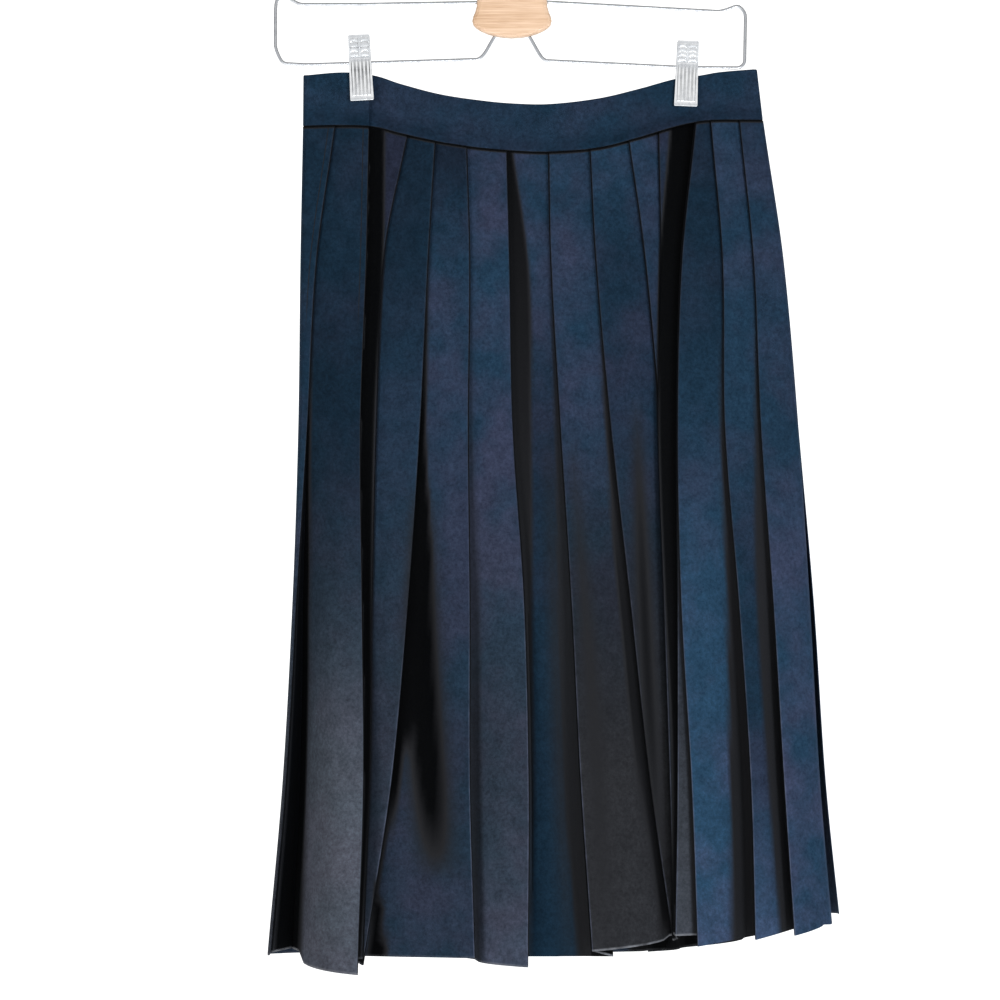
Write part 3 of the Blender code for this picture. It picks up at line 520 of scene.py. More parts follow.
def half_lines(folds, side_x, side_y_at, level, facing, middle_x):
    """The centre lines of one half, from its side seam to its innermost underlay.

    A lap edge ends one line, and the next starts under it as a free edge.
    """
    lines = []
    edges = [fold_edge(fold, level, facing) for fold in folds]
    corner_x = side_x + CLOTH / 2
    edges[0] = edges[0]._replace(x=max(edges[0].x, corner_x + 2 * LAYER))
    first = edges[0]
    start_hem = folds[0].hem_near
    corner_deep = side_y_at(first)
    turn = min(SIDE_ROUND, SIDE_SHARE * (first.x - corner_x))
    begin = Spot(corner_x + turn, corner_deep, start_hem)
    near_x = mix(begin.x, first.x, FIRST_STRIP)
    near = Spot(near_x, mix(corner_deep, first.deep, FIRST_STRIP), start_hem)
    panel = [spot._replace(hollow=0.0) for spot in panel_to_edge(begin, near, first, folds[0])]
    line = measured(with_painted_light_and_tint(panel, folds[0].name, level), None, first)
    middle = Spot(middle_x * facing, 0.0, MIDDLE_HEM)
    for fold, edge, after, next_fold in zip(folds, edges, [*edges[1:], middle], [*folds[1:], None]):
        after_hem = next_fold.hem_near if next_fold else MIDDLE_HEM
        inner, start, shelf, spread = turn_under(panel, edge, fold, level, after, after_hem)
        if fold.name == LAP_EDGE:
            line.append(line[-1]._replace(x=edge.x, fold=1.0, inward=0.0))
            lines.append(line)
            start = start._replace(deep=start.deep - LAYER)
            shelf = shelf._replace(deep=shelf.deep - LAYER)
            line = []
        else:
            round_edge = outer_turn(edge, spread)
            round_inner = inner_turn(inner, spread)
            under = between(round_edge[-1], round_inner[0])
            hidden = measured(round_edge + under + round_inner, edge, edge)
            line.extend(with_painted_light_and_tint(hidden, fold.name, level))
            start = start._replace(x=round_inner[-1].x + LEAST_STEP)
            shelf = shelf._replace(x=max(shelf.x, start.x + LEAST_STEP))
        if next_fold:
            panel = panel_to_edge(start, shelf, after, next_fold)
            line.extend(measured(with_painted_light_and_tint(panel, next_fold.name, level), edge, after))
            continue
        underlay = [start._replace(hollow=1.0)]
        for step in range(MIDDLE_STEPS + 1):
            share = MIDDLE_REACH * step / MIDDLE_STEPS
            hem = mix(shelf.hem, MIDDLE_HEM, share)
            underlay.append(Spot(mix(shelf.x, middle.x, share), shelf.deep, hem))
        line.extend(measured(with_painted_light_and_tint(underlay, MIDDLE, level), edge, None))
    lines.append(line)
    return [sink_and_shade(line, edges, folds, level) for line in lines]


def crease_at(x, drop, behind):
    """The soft troughs and ridges at a place: their depth and their painted shade."""
    deep = dark = 0.0
    for crease in FRONT_CREASES if behind > 0 else BACK_CREASES:
        along = (drop - crease.drop_high) / (crease.drop_low - crease.drop_high)
        if not 0 < along < 1:
            continue
        middle = curve_at((0, 0.5, 1), crease[:3], along)
        width = mix(crease.width_high, crease.width_low, along)
        share = math.exp(-((x - middle) / width) ** 2) * math.sin(math.pi * along) ** CREASE_ENDS
        deep += crease.depth * share
        dark = max(dark, min(crease.dark * share, 1.0))
    return deep, dark


def sway(x, drop, behind):
    """Slow uneven waves in the hanging cloth, growing from the waist to the hem."""
    waves = sum(
        wave.share * math.sin(x / wave.across + drop / wave.down + wave.turn * behind)
        for wave in SWAY_WAVES
    )
    return SWAY_DEPTH * ease(drop, SWAY_START, SWAY_END) * waves


def place_line(line, level, facing, left, right, behind):
    """Turn a centre line's spots into places, each with its values after it."""
    points = []
    for spot in line:
        x = spot.x * facing
        seam = seam_drop(x) + HALF_GAP
        drop = mix(seam, spot.hem, level)
        deep, dark = crease_at(x, drop, behind)
        dark = max(dark, SEAM_SHADE * (1 - ease(level, SEAM_LINE_START, SEAM_LINE_END)))
        # How much painted highlight the spot takes, less while the pleats are stitched down
        pressed = spot.fold * mix(STITCHED_PAINTED_HIGHLIGHT, 1, opening(level))
        y = surface_y(x, level, left, right) + spot.deep + deep + sway(x, drop, behind)
        # The hem's rim takes a painted highlight, as strong as the panel's greyness
        rim = spot.grey if level > HEM_RIM else 0.0
        points.append((x, y * behind, -drop, pressed, max(spot.hollow, dark), *spot[5:-1], rim))
    return points


def side_points(corner, side_x, behind):
    """The wall's turn at the side, from the side seam round to its first corner."""
    x, y, z = corner[:3]
    start_y = -HALF_GAP * behind
    points = []
    for step in range(SIDE_STEPS):
        angle = math.pi / 2 * step / SIDE_STEPS
        points.append((
            mix(side_x, x, 1 - math.cos(angle)), mix(start_y, y, math.sin(angle)), z, *corner[3:],
        ))
    return points


def shell_levels():
    """Even rows, with more just below the band's seam and just above the hem."""
    levels = [row / ROW_COUNT for row in range(1, ROW_COUNT)]
    return [0.0, SEAM_LINE_START, SEAM_LINE_END] + levels + [1 - 2 * HEM_ROUND, 1 - HEM_ROUND, 1.0]


def skirt_rows(left_folds, right_folds, left, right, behind):
    """The rows of centre-line points of each piece of a pleated side of the skirt."""
    pieces = None
    for level in shell_levels():
        halves = []
        for folds, side, facing in ((left_folds, left, 1), (right_folds, right, -1)):
            drop = mix(seam_drop(side.x200), folds[0].hem_near, level)
            side_x = edge_x(side, drop) * facing

            def corner_deep(first):
                strip = first.x - side_x
                flat = 1 - min(strip / FLAT_STRIP, 1.0)
                here = surface_y((side_x + CLOTH / 2) * facing, level, left, right)
                there = surface_y(first.x * facing, level, left, right) + first.deep
                return mix(0, there - here, flat)

            inner_xs = [edge_x(half[-1], drop_at(level)) for half in (left_folds, right_folds)]
            lines = half_lines(folds, side_x, corner_deep, level, facing, sum(inner_xs) / 2)
            placed = [place_line(line, level, facing, left, right, behind) for line in lines]
            corner_x = (side_x + CLOTH / 2) * facing
            placed[0] = side_points(placed[0][0], corner_x, behind) + placed[0]
            halves.append(placed)
        left_lines, right_lines = halves
        across = left_lines[-1] + list(reversed(right_lines[0]))
        row_of_pieces = left_lines[:-1] + [across]
        if pieces is None:
            pieces = [[] for _ in row_of_pieces]
        for rows, row in zip(pieces, row_of_pieces):
            rows.append(row)
    return pieces


def back_folds(side):
    """The back's pleats on one side, evenly spread with slightly uneven spacing."""
    folds = []
    hem_places = [spot.x for spot in BACK_HEM_SPOTS]
    hem_drops = [spot.drop for spot in BACK_HEM_SPOTS]
    near_hem = hem_drops[0] if side < 0 else hem_drops[-1]
    for number in range(1, BACK_FOLDS_A_SIDE + 1):
        places = []
        for drop in STATIONS:
            low = edge_x(LEFT_SIDE, drop)
            high = edge_x(BACK_RIGHT_SIDE, drop)
            turn = BACK_UNEVEN_TURN * number + side + drop / BACK_UNEVEN_RUN
            uneven = BACK_UNEVEN * math.sin(turn)
            share = 1 - number / BACK_SPREAD + uneven
            places.append((low + high) / 2 + side * share * (high - low) / 2)
        far_hem = curve_at(hem_places, hem_drops, places[-1])
        ripple = BACK_RIPPLE * math.sin(BACK_RIPPLE_TURN * number + side)
        folds.append(Fold(
            BACK_FOLD, *places, 0, 0, BACK_HEM_DEEP - ripple, BACK_UNDER[0], BACK_UNDER[1],
            BACK_SINK[0], BACK_SINK[1] + ripple, BACK_ROLL, near_hem, far_hem, BACK_HEM_ROUND,
        ))
        near_hem = far_hem - BACK_HEM_STEP
    return tuple(folds)


def between_clips(x):
    """1 half way between the clips, 0 at them and outside them."""
    low = CLIP_PLACES[0] + CLIPPED_HALF_WIDTH
    high = CLIP_PLACES[1] - CLIPPED_HALF_WIDTH
    share = min(max((x - low) / (high - low), 0.0), 1.0)
    return math.sin(math.pi * share)


def lap_share(x):
    """1 where the front lies under the lap, 0 away from it."""
    return 1 - ease(x, LAP_RAMP_START, LAP_RAMP_END)


def below_clip(row_share):
    """0 down to the clips' feet, then up to 1 at the band's seam."""
    return ease(row_share, CLIPPED_SHARE, BAND_FALL_END) / ease(1.0, CLIPPED_SHARE, BAND_FALL_END)


def front_band_y(x, row_share):
    top = -BAND_LAYER / 2 * (1 - lap_share(x)) - BAND_BOW * between_clips(x)
    foot = surface_y(x, 0, LEFT_SIDE, FRONT_RIGHT_SIDE) + BAND_STACK_DEPTH
    foot += (BAND_LAYER - BAND_STACK_DEPTH + LAP_STACK_DEPTH) * lap_share(x)
    return mix(top, foot, below_clip(row_share))


def lap_band_y(x, row_share):
    foot = surface_y(x, 0, LEFT_SIDE, FRONT_RIGHT_SIDE) + LAP_STACK_DEPTH
    return mix(-BAND_LAYER, foot, below_clip(row_share))


def back_band_y(x, row_share):
    """Mirrored to the back by its caller, so it is negative here too."""
    top = -BAND_LAYER / 2 * (1 + lap_share(x)) - BAND_BOW * between_clips(x)
    foot = surface_y(x, 0, LEFT_SIDE, BACK_RIGHT_SIDE) + BAND_STACK_DEPTH
    return mix(top, foot, below_clip(row_share))


# Rows of the band as shares of its height, and its thickness there, rounded at both edges
BAND_EVEN_ROWS = (0.034, 0.1, 0.2, 0.33, 0.45, 0.56, 0.66, 0.72, 0.78, 0.84, 0.9, 0.95)
BAND_ROWS = (
    (0.0, 0.25), (0.006, 0.62), (0.016, 0.88),
    *((share, 1.0) for share in BAND_EVEN_ROWS),
    (0.98, 0.95), (0.992, 0.75), (1.0, 0.35),
)


def band_rows(start, end, y_at, behind):
    """All rows of a waistband piece. An end that is None lies at the skirt's side."""
    rows = []
    first = BAND_LEFT_SEAM if start is None else start
    last = BAND_RIGHT_SEAM if end is None else end
    count = max(round((last - first) / BAND_STEP), 2)
    for share, _ in BAND_ROWS:
        left = mix(BAND_LEFT_TOP, BAND_LEFT_SEAM, share) + BAND / 2 if start is None else start
        right = mix(BAND_RIGHT_TOP, BAND_RIGHT_SEAM, share) - BAND / 2 if end is None else end
        # Painted shade line along the band's lower edge, at its seam
        dark = BAND_SEAM_PAINTED_SHADE if share > BAND_SEAM_START else 0.0
        row = []
        for number in range(count + 1):
            x = mix(left, right, number / count)
            drop = mix(band_top_drop(x), seam_drop(x) - HALF_GAP, share)
            waves = math.sin(x / PUCKER_SHORT) * math.sin(x / PUCKER_LONG + PUCKER_TURN)
            pucker = PUCKER_DEPTH * waves * math.sin(math.pi * share)
            y = (y_at(x, share) - pucker) * behind
            row.append((x, y, -drop, 0.0, dark, BAND_TONE, 0.0, BAND_TEAL, FAR, FAR, 0.0))
        if start is None:
            row = side_points(row[1], row[0][0], behind) + row[1:]
        if end is None:
            row = row[:-1] + list(reversed(side_points(row[-2], row[-1][0], behind)))
        rows.append(row)
    return rows


def unit(vectors):
    return vectors / np.maximum(np.linalg.norm(vectors, axis=2, keepdims=True), TINY)


def offset_rows(rows, distances):
    """Move every point sideways in its row's plane, with mitred corners."""
    runs = unit(np.diff(rows[:, :, :2], axis=1))
    before = np.concatenate([runs[:, :1], runs], axis=1)
    after = np.concatenate([runs, runs[:, -1:]], axis=1)
    both = before + after
    normal = unit(np.stack([-both[:, :, 1], both[:, :, 0]], axis=2))
    facing = -normal[:, :, 0] * after[:, :, 1] + normal[:, :, 1] * after[:, :, 0]
    stretch = distances[:, None] / np.maximum(facing, SHARPEST_MITRE)
    moved = rows[:, :, :3].copy()
    moved[:, :, :2] += normal * stretch[:, :, None]
    return moved


def wall_faces(row_count, column_count):
    """Quads of a closed wall: two sides, its top and bottom, and its two ends."""
    near, far = np.arange(row_count * column_count * 2).reshape(2, row_count, column_count)
    strips = (
        (near[:-1, :-1], near[:-1, 1:], near[1:, 1:], near[1:, :-1]),
        (far[:-1, :-1], far[1:, :-1], far[1:, 1:], far[:-1, 1:]),
        (near[0, :-1], far[0, :-1], far[0, 1:], near[0, 1:]),
        (near[-1, :-1], near[-1, 1:], far[-1, 1:], far[-1, :-1]),
        (near[:-1, 0], near[1:, 0], far[1:, 0], far[:-1, 0]),
        (near[:-1, -1], far[:-1, -1], far[1:, -1], near[1:, -1]),
    )
    return np.concatenate([np.stack([part.ravel() for part in strip], axis=1) for strip in strips])


def closed_volume(corners, faces):
    """Six times the signed volume inside quads, positive where they point outwards."""
    a, b, c, d = (corners[faces[:, index]] for index in range(4))
    one = np.einsum("ij,ij->i", a, np.cross(b, c))
    other = np.einsum("ij,ij->i", a, np.cross(c, d))
    return float((one + other).sum())


def add_point_values(mesh, name, values):
    attribute = mesh.attributes.new(name, "FLOAT", "POINT")
    attribute.data.foreach_set("value", values.astype(np.float32).ravel())


def cloth_wall(name, rows, thicknesses, material, nodes):
    """A thin closed shell through rows of places and values, with its weave's UVs."""
    rows = np.array(rows, float)
    sides = [offset_rows(rows, sign * thicknesses / 2) for sign in (1, -1)]
    corners = np.stack(sides).reshape(-1, 3) * MM
    faces = wall_faces(rows.shape[0], rows.shape[1])
    if closed_volume(corners, faces) < 0:
        faces = faces[:, ::-1]
    mesh = bpy.data.meshes.new(name)
    mesh.from_pydata(corners.tolist(), [], faces.tolist())
    for number, value in enumerate(VALUES):
        add_point_values(mesh, value, np.tile(rows[:, :, 3 + number].ravel(), 2))
    along = np.linalg.norm(np.diff(rows[:, :, :2], axis=1), axis=2).cumsum(axis=1)
    along = np.concatenate([np.zeros((rows.shape[0], 1)), along], axis=1)
    threads = np.stack([along, rows[:, :, 2]], axis=2).reshape(-1, 2) * MM
    threads = np.tile(threads, (2, 1))
    weave = mesh.uv_layers.new(name="weave")
    order = np.empty(len(mesh.loops), dtype=np.int32)
    mesh.loops.foreach_get("vertex_index", order)
    weave.data.foreach_set("uv", threads[order].astype(np.float32).ravel())
    mesh.shade_smooth()
    mesh.set_sharp_from_angle(angle=SHARP_ANGLE)
    mesh.materials.append(material)
    piece = bpy.data.objects.new(name, mesh)
    bpy.context.scene.collection.objects.link(piece)
    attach(piece, BODY)
    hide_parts(*nodes)
    return piece


class Wire:
    """A socket that can be used in Python sums, which add Math nodes."""

    def __init__(self, nodes, socket):
        self.nodes = nodes
        self.socket = socket

    def __add__(self, other):
        return self.nodes.math("ADD", self, other)

    def __radd__(self, other):
        return self.nodes.math("ADD", other, self)

    def __sub__(self, other):
        return self.nodes.math("SUBTRACT", self, other)

    def __rsub__(self, other):
        return self.nodes.math("SUBTRACT", other, self)

    def __mul__(self, other):
        return self.nodes.math("MULTIPLY", self, other)

    def __rmul__(self, other):
        return self.nodes.math("MULTIPLY", other, self)


class Nodes:
    """A node tree that is filled one call at a time."""

    def __init__(self, tree):
        self.tree = tree

    def add(self, kind, settings=None, sockets=(), output=0):
        """Add a node: its settings first, then its sockets by order or by name."""
        node = self.tree.nodes.new(kind)
        for name, value in (settings or {}).items():
            setattr(node, name, value)
        pairs = sockets.items() if isinstance(sockets, dict) else enumerate(sockets)
        for key, value in pairs:
            self.put(node.inputs[key], value)
        return Wire(self, node.outputs[output]) if node.outputs else None

    def put(self, socket, value):
        if isinstance(value, Wire):
            self.tree.links.new(value.socket, socket)
        else:
            socket.default_value = value

    def math(self, operation, *values):
        return self.add("ShaderNodeMath", {"operation": operation}, values)


class Shader(Nodes):
    """A material, with the textures and colour steps that finishes are made of."""

    def __init__(self, name, base, **uniform):
        self.material = bpy.data.materials.new(name)
        self.material.use_nodes = True
        super().__init__(self.material.node_tree)
        self.surface = self.tree.nodes["Principled BSDF"]
        self.set("Base Color", (*base, 1))
        self.material.diffuse_color = (*base, 1)
        for socket, value in uniform.items():
            self.set(socket.replace("_", " "), value)

    def set(self, name, value):
        self.put(self.surface.inputs[name], value)

    def place(self):
        return self.add("ShaderNodeTexCoord", output="Object")

    def value(self, name):
        """One of the mesh's own point values."""
        return self.add("ShaderNodeAttribute", {"attribute_name": name}, output="Fac")

    def noise(self, where, scale, detail=2.0, roughness=0.5):
        sockets = {"Vector": where, "Scale": scale, "Detail": detail, "Roughness": roughness}
        return self.add("ShaderNodeTexNoise", {"noise_dimensions": "3D"}, sockets)

    def spread(self, value, low, high, new_low, new_high):
        """Turn a value's range low to high into new_low to new_high, and keep it there."""
        sockets = (value, low, high, new_low, new_high)
        return self.add("ShaderNodeMapRange", {"clamp": True}, sockets)

    def highest(self, first, *others):
        for other in others:
            first = self.math("MAXIMUM", first, other)
        return first

    def threads(self, where, count):
        """Crossing threads along both directions of a UV map."""
        lines = []
        for direction in ("X", "Y"):
            sockets = {"Vector": where, "Scale": count}
            lines.append(self.add("ShaderNodeTexWave", {"bands_direction": direction}, sockets, output=1))
        return self.highest(*lines)

    def scale(self, colour, factor):
        sockets = {"Vector": colour, "Scale": factor}
        return self.add("ShaderNodeVectorMath", {"operation": "SCALE"}, sockets)

    def stretched(self, where, scale):
        return self.add("ShaderNodeMapping", {}, {"Vector": where, "Scale": scale})

    def blend(self, share, first, second):
        """Mix two colours, each a socket or plain red, green and blue."""
        pair = [colour if isinstance(colour, Wire) else (*colour, 1) for colour in (first, second)]
        return self.add("ShaderNodeMix", {"data_type": "RGBA"}, {0: share, 6: pair[0], 7: pair[1]}, output=2)

    def bump(self, height, strength, distance):
        sockets = {"Height": height, "Strength": strength, "Distance": distance}
        self.set("Normal", self.add("ShaderNodeBump", {}, sockets))


CLOTH_TEAL = (0.0098, 0.0260, 0.0440)
CLOTH_VIOLET = (0.0262, 0.0308, 0.0525)
CLOTH_GREY = (0.0262, 0.0268, 0.0295)
# Painted highlight colour for the crisp edges
CLOTH_PAINTED_EDGE_HIGHLIGHT = (0.070, 0.080, 0.110)
# Painted highlight colour for the hem's rim
CLOTH_PAINTED_RIM_HIGHLIGHT = (0.120, 0.122, 0.130)
CLOTH_SHADE = (0.0150, 0.0152, 0.0165)
# Near-black painted shadow colour for hollows and hidden layers
CLOTH_PAINTED_SHADOW = (0.0006, 0.0008, 0.0010)
CLOTH_SHEEN = (0.45, 0.55, 0.8, 1)

# The cloth's noises: scale, detail and roughness
GRAIN = (900.0, 2.0, 0.7)
CREPE = (380.0, 3.0, 0.75)
MOTTLE = (90.0, 3.0, 0.6)
DRIFT = (16.0, 3.0, 0.6)
THREADS = 320.0

# Ranges of noises, distances and shades, and what their two ends become. The stitched line
# runs inside the lap's edge down to a height.
DRIFT_TO_VIOLET = (0.38, 0.62, 0.1, 0.95)
CREPE_TO_LIGHT = (0.3, 0.7, 0.72, 1.28)
MOTTLE_TO_LIGHT = (0.3, 0.7, 0.86, 1.14)
INWARD_TO_PAINTED_HIGHLIGHT = (0.5, 1.3, 1.0, 0.0)
MOTTLE_TO_PAINTED_HIGHLIGHT = (0.35, 0.65, 0.25, 0.8)
INWARD_TO_STITCH = (4.1, 4.6, 0.0, 1.0)
INWARD_FROM_STITCH = (4.6, 5.1, 1.0, 0.0)
HEIGHT_TO_STITCH = (-0.35, -0.32, 0.0, 1.0)
OUTWARD_TO_LINE = (0.3, 1.1, 0.9, 0.0)
INWARD_TO_LINE = (0.1, 0.9, 0.4, 0.0)
DARK_TO_SHADE = (0.0, 0.5, 0.0, 1.0)
DARK_TO_PAINTED_SHADOW = (0.5, 1.0, 0.0, 0.97)
MOTTLE_TO_PAINTED_RIM_HIGHLIGHT = (0.35, 0.6, 0.3, 0.9)
GRAIN_TO_ROUGHNESS = (0.3, 0.7, 0.76, 0.92)
STITCH_DARK = 0.7

# How much each pattern adds to the cloth's relief, and the bump's strength and distance
GRAIN_RELIEF = 0.5
CREPE_RELIEF = 0.6
WEAVE_RELIEF = 0.3
CLOTH_BUMP = (0.3, 0.0004)


def stitched_line(cloth, inward, height):
    """The line of stitches inside the lap's edge."""
    line = cloth.spread(inward, *INWARD_TO_STITCH) * cloth.spread(inward, *INWARD_FROM_STITCH)
    return line * cloth.spread(height, *HEIGHT_TO_STITCH) * cloth.value("lap")


def navy_crepe():
    """Matt navy crepe: fine grain, slow changes of tone, painted light and shade on its panels, painted
    highlights on its crisp edges and hem, and painted shadow in its folds.
    """
    cloth = Shader("navy_crepe", CLOTH_VIOLET, Roughness=0.85, Sheen_Weight=0.02, Sheen_Roughness=0.5)
    cloth.set("Sheen Tint", CLOTH_SHEEN)
    cloth.set("Specular IOR Level", 0.1)
    where = cloth.place()
    weave = cloth.threads(cloth.add("ShaderNodeUVMap", {"uv_map": "weave"}), THREADS)
    grain = cloth.noise(where, *GRAIN)
    crepe = cloth.noise(where, *CREPE)
    mottle = cloth.noise(where, *MOTTLE)
    drift = cloth.noise(where, *DRIFT)
    inward = cloth.value("inward")
    violet = cloth.spread(drift, *DRIFT_TO_VIOLET) * (1.0 - cloth.value("teal"))
    colour = cloth.blend(violet, CLOTH_TEAL, CLOTH_VIOLET)
    colour = cloth.blend(cloth.value("grey"), colour, CLOTH_GREY)
    light = cloth.spread(crepe, *CREPE_TO_LIGHT) * cloth.spread(mottle, *MOTTLE_TO_LIGHT)
    # The cloth's random lightness, times the panel's painted light and shade
    colour = cloth.scale(colour, light * cloth.value("tone"))
    # Painted highlight along the crisp edges, broken up by the mottle
    pressed = cloth.value("fold") * cloth.spread(inward, *INWARD_TO_PAINTED_HIGHLIGHT)
    colour = cloth.blend(pressed * cloth.spread(mottle, *MOTTLE_TO_PAINTED_HIGHLIGHT), colour, CLOTH_PAINTED_EDGE_HIGHLIGHT)
    height = cloth.add("ShaderNodeSeparateXYZ", {}, (where,), output="Z")
    stitch = stitched_line(cloth, inward, height)
    # Painted shadow lines under a covering edge and just inside a crisp edge, with the hollows' painted shade
    # and shadow; the stitched line's darkness is its own
    under = cloth.spread(cloth.value("outward"), *OUTWARD_TO_LINE)
    creased = cloth.spread(inward, *INWARD_TO_LINE) * (1.0 - cloth.value("fold"))
    dark = cloth.highest(cloth.value("hollow"), under, creased, stitch * STITCH_DARK)
    colour = cloth.blend(cloth.spread(dark, *DARK_TO_SHADE), colour, CLOTH_SHADE)
    colour = cloth.blend(cloth.spread(dark, *DARK_TO_PAINTED_SHADOW), colour, CLOTH_PAINTED_SHADOW)
    # Painted highlight along the hem's rim
    rim = cloth.value("rim") * cloth.spread(mottle, *MOTTLE_TO_PAINTED_RIM_HIGHLIGHT)
    cloth.set("Base Color", cloth.blend(rim, colour, CLOTH_PAINTED_RIM_HIGHLIGHT))
    cloth.set("Roughness", cloth.spread(grain, *GRAIN_TO_ROUGHNESS))
    relief = grain * GRAIN_RELIEF + crepe * CREPE_RELIEF + weave * WEAVE_RELIEF - stitch
    cloth.bump(relief, *CLOTH_BUMP)
    return cloth.material


# Steel: noises, what their ranges become, the bump, and the bright and dull colours
BRUSHING = (900.0, 900.0, 60.0)
STREAKS = (1.0, 3.0, 0.6)
SPOTS = (220.0, 3.0, 0.5)
STREAKS_TO_ROUGHNESS = (0.3, 0.7, 0.1, 0.24)
SPOTS_TO_ROUGHNESS = (0.5, 0.75, 0.0, 0.12)
SPOTS_TO_DULL = (0.45, 0.8, 0.0, 1.0)
STEEL_BUMP = (0.06, 0.0002)
CLIP_STEEL = ((0.72, 0.73, 0.74), (0.55, 0.56, 0.58))
WIRE_STEEL = ((0.50, 0.51, 0.53), (0.40, 0.41, 0.43))


def chromed_steel(name, bright, dull):
    """Plated steel, with faint brushing along it and dull spots."""
    steel = Shader(name, bright, Metallic=1.0, Roughness=0.16)
    where = steel.place()
    streaks = steel.noise(steel.stretched(where, BRUSHING), *STREAKS)
    spots = steel.noise(where, *SPOTS)
    roughness = steel.spread(streaks, *STREAKS_TO_ROUGHNESS) + steel.spread(spots, *SPOTS_TO_ROUGHNESS)
    steel.set("Roughness", roughness)
    steel.set("Base Color", steel.blend(steel.spread(spots, *SPOTS_TO_DULL), bright, dull))
    steel.bump(streaks, *STEEL_BUMP)
    return steel.material


# Wood: colours, how its noises are stretched and added up, and what their ranges become
WOOD_LIGHT = (0.500, 0.360, 0.260)
WOOD_DARK = (0.325, 0.205, 0.120)
WOOD_PORE = (0.22, 0.125, 0.065)
WARP_STRETCH = (6.0, 40.0, 40.0)
LINES_STRETCH = (16.0, 240.0, 620.0)
PORES_STRETCH = (60.0, 1500.0, 2400.0)
LINES_NOISE = (1.0, 4.0, 0.65)
LINES_SHARE = 0.8
WARP_SHARE = 0.4
PORES_RELIEF = 0.5
WOOD_BUMP = (0.15, 0.0004)
LINES_TO_DARK = (0.45, 0.8, 0.0, 1.0)
PORES_TO_DARK = (0.58, 0.72, 0.0, 0.5)
LINES_TO_ROUGHNESS = (0.3, 0.7, 0.42, 0.6)


def pale_wood():
    """Pale varnished wood with its grain running across the hanger."""
    wood = Shader("pale_wood", WOOD_LIGHT, Roughness=0.5, Coat_Weight=0.12, Coat_Roughness=0.3)
    where = wood.place()
    warp = wood.noise(wood.stretched(where, WARP_STRETCH), 1.0)
    lines = wood.noise(wood.stretched(where, LINES_STRETCH), *LINES_NOISE)
    pores = wood.noise(wood.stretched(where, PORES_STRETCH), 1.0)
    tone = wood.spread(lines * LINES_SHARE + warp * WARP_SHARE, *LINES_TO_DARK)
    colour = wood.blend(tone, WOOD_LIGHT, WOOD_DARK)
    wood.set("Base Color", wood.blend(wood.spread(pores, *PORES_TO_DARK), colour, WOOD_PORE))
    wood.set("Roughness", wood.spread(lines, *LINES_TO_ROUGHNESS))
    wood.bump(lines + pores * PORES_RELIEF, *WOOD_BUMP)
    return wood.material


CAMERA_DISTANCE = 10.0
CAMERA_FRAME = 0.7755
CAMERA_PLACE = (-0.0093, -CAMERA_DISTANCE - 0.02, -0.4808)
LIGHTS_AIM = (0, 0, -0.5)
Light = namedtuple("Light", "name place aim size power colour")
LIGHTS = (
    Light("right_light", (1.9, -2.0, 0.2), LIGHTS_AIM, (0.9, 1.4), 70, (0.90, 0.95, 1.0)),
    Light("left_light", (-2.1, -1.9, 0.1), LIGHTS_AIM, (0.9, 1.4), 52, (1.0, 0.98, 0.96)),
    Light("low_light", (0.5, -2.3, -1.8), (0.05, 0, -0.8), (1.2, 0.5), 22, (0.92, 0.96, 1.0)),
    Light("back_left", (-1.8, 2.3, 0.4), LIGHTS_AIM, (1.0, 1.4), 45, (0.96, 0.98, 1.0)),
    Light("back_right", (2.2, 2.0, 0.2), LIGHTS_AIM, (1.0, 1.4), 45, (1.0, 1.0, 1.0)),
)
FLOOR_REACH = 18.0
FLOOR_HEIGHT = -2.0
FLOOR_GLOW = 0.55
WHITE = (1, 1, 1, 1)
SEEN_STRENGTH = 1.05
FILL_COLOUR = (0.86, 0.92, 1.0, 1)
FILL_STRENGTH = 0.25
FRONT_GLOW = {"From Min": -0.3, "From Max": -0.85, "To Min": 0.06, "To Max": 1.0}


def make_camera():
    """A long lens far away, square to the front, framed as the photograph is."""
    data = bpy.data.cameras.new("camera")
    data.sensor_width = 36.0
    data.lens = data.sensor_width * CAMERA_DISTANCE / CAMERA_FRAME
    data.clip_end = 100.0
    camera = bpy.data.objects.new("camera", data)
    camera.location = CAMERA_PLACE
    camera.rotation_euler = (math.pi / 2, 0, 0)
    bpy.context.scene.collection.objects.link(camera)
    bpy.context.scene.camera = camera


def soft_light(name, place, aim, size, power, colour):
    data = bpy.data.lights.new(name, "AREA")
    data.shape = "RECTANGLE"
    data.size, data.size_y = size
    data.energy = power
    data.color = colour
    light = bpy.data.objects.new(name, data)
    light.location = place
    light.rotation_euler = (Vector(aim) - Vector(place)).to_track_quat("-Z", "Y").to_euler()
    light.visible_camera = False
    light.visible_glossy = False
    bpy.context.scene.collection.objects.link(light)


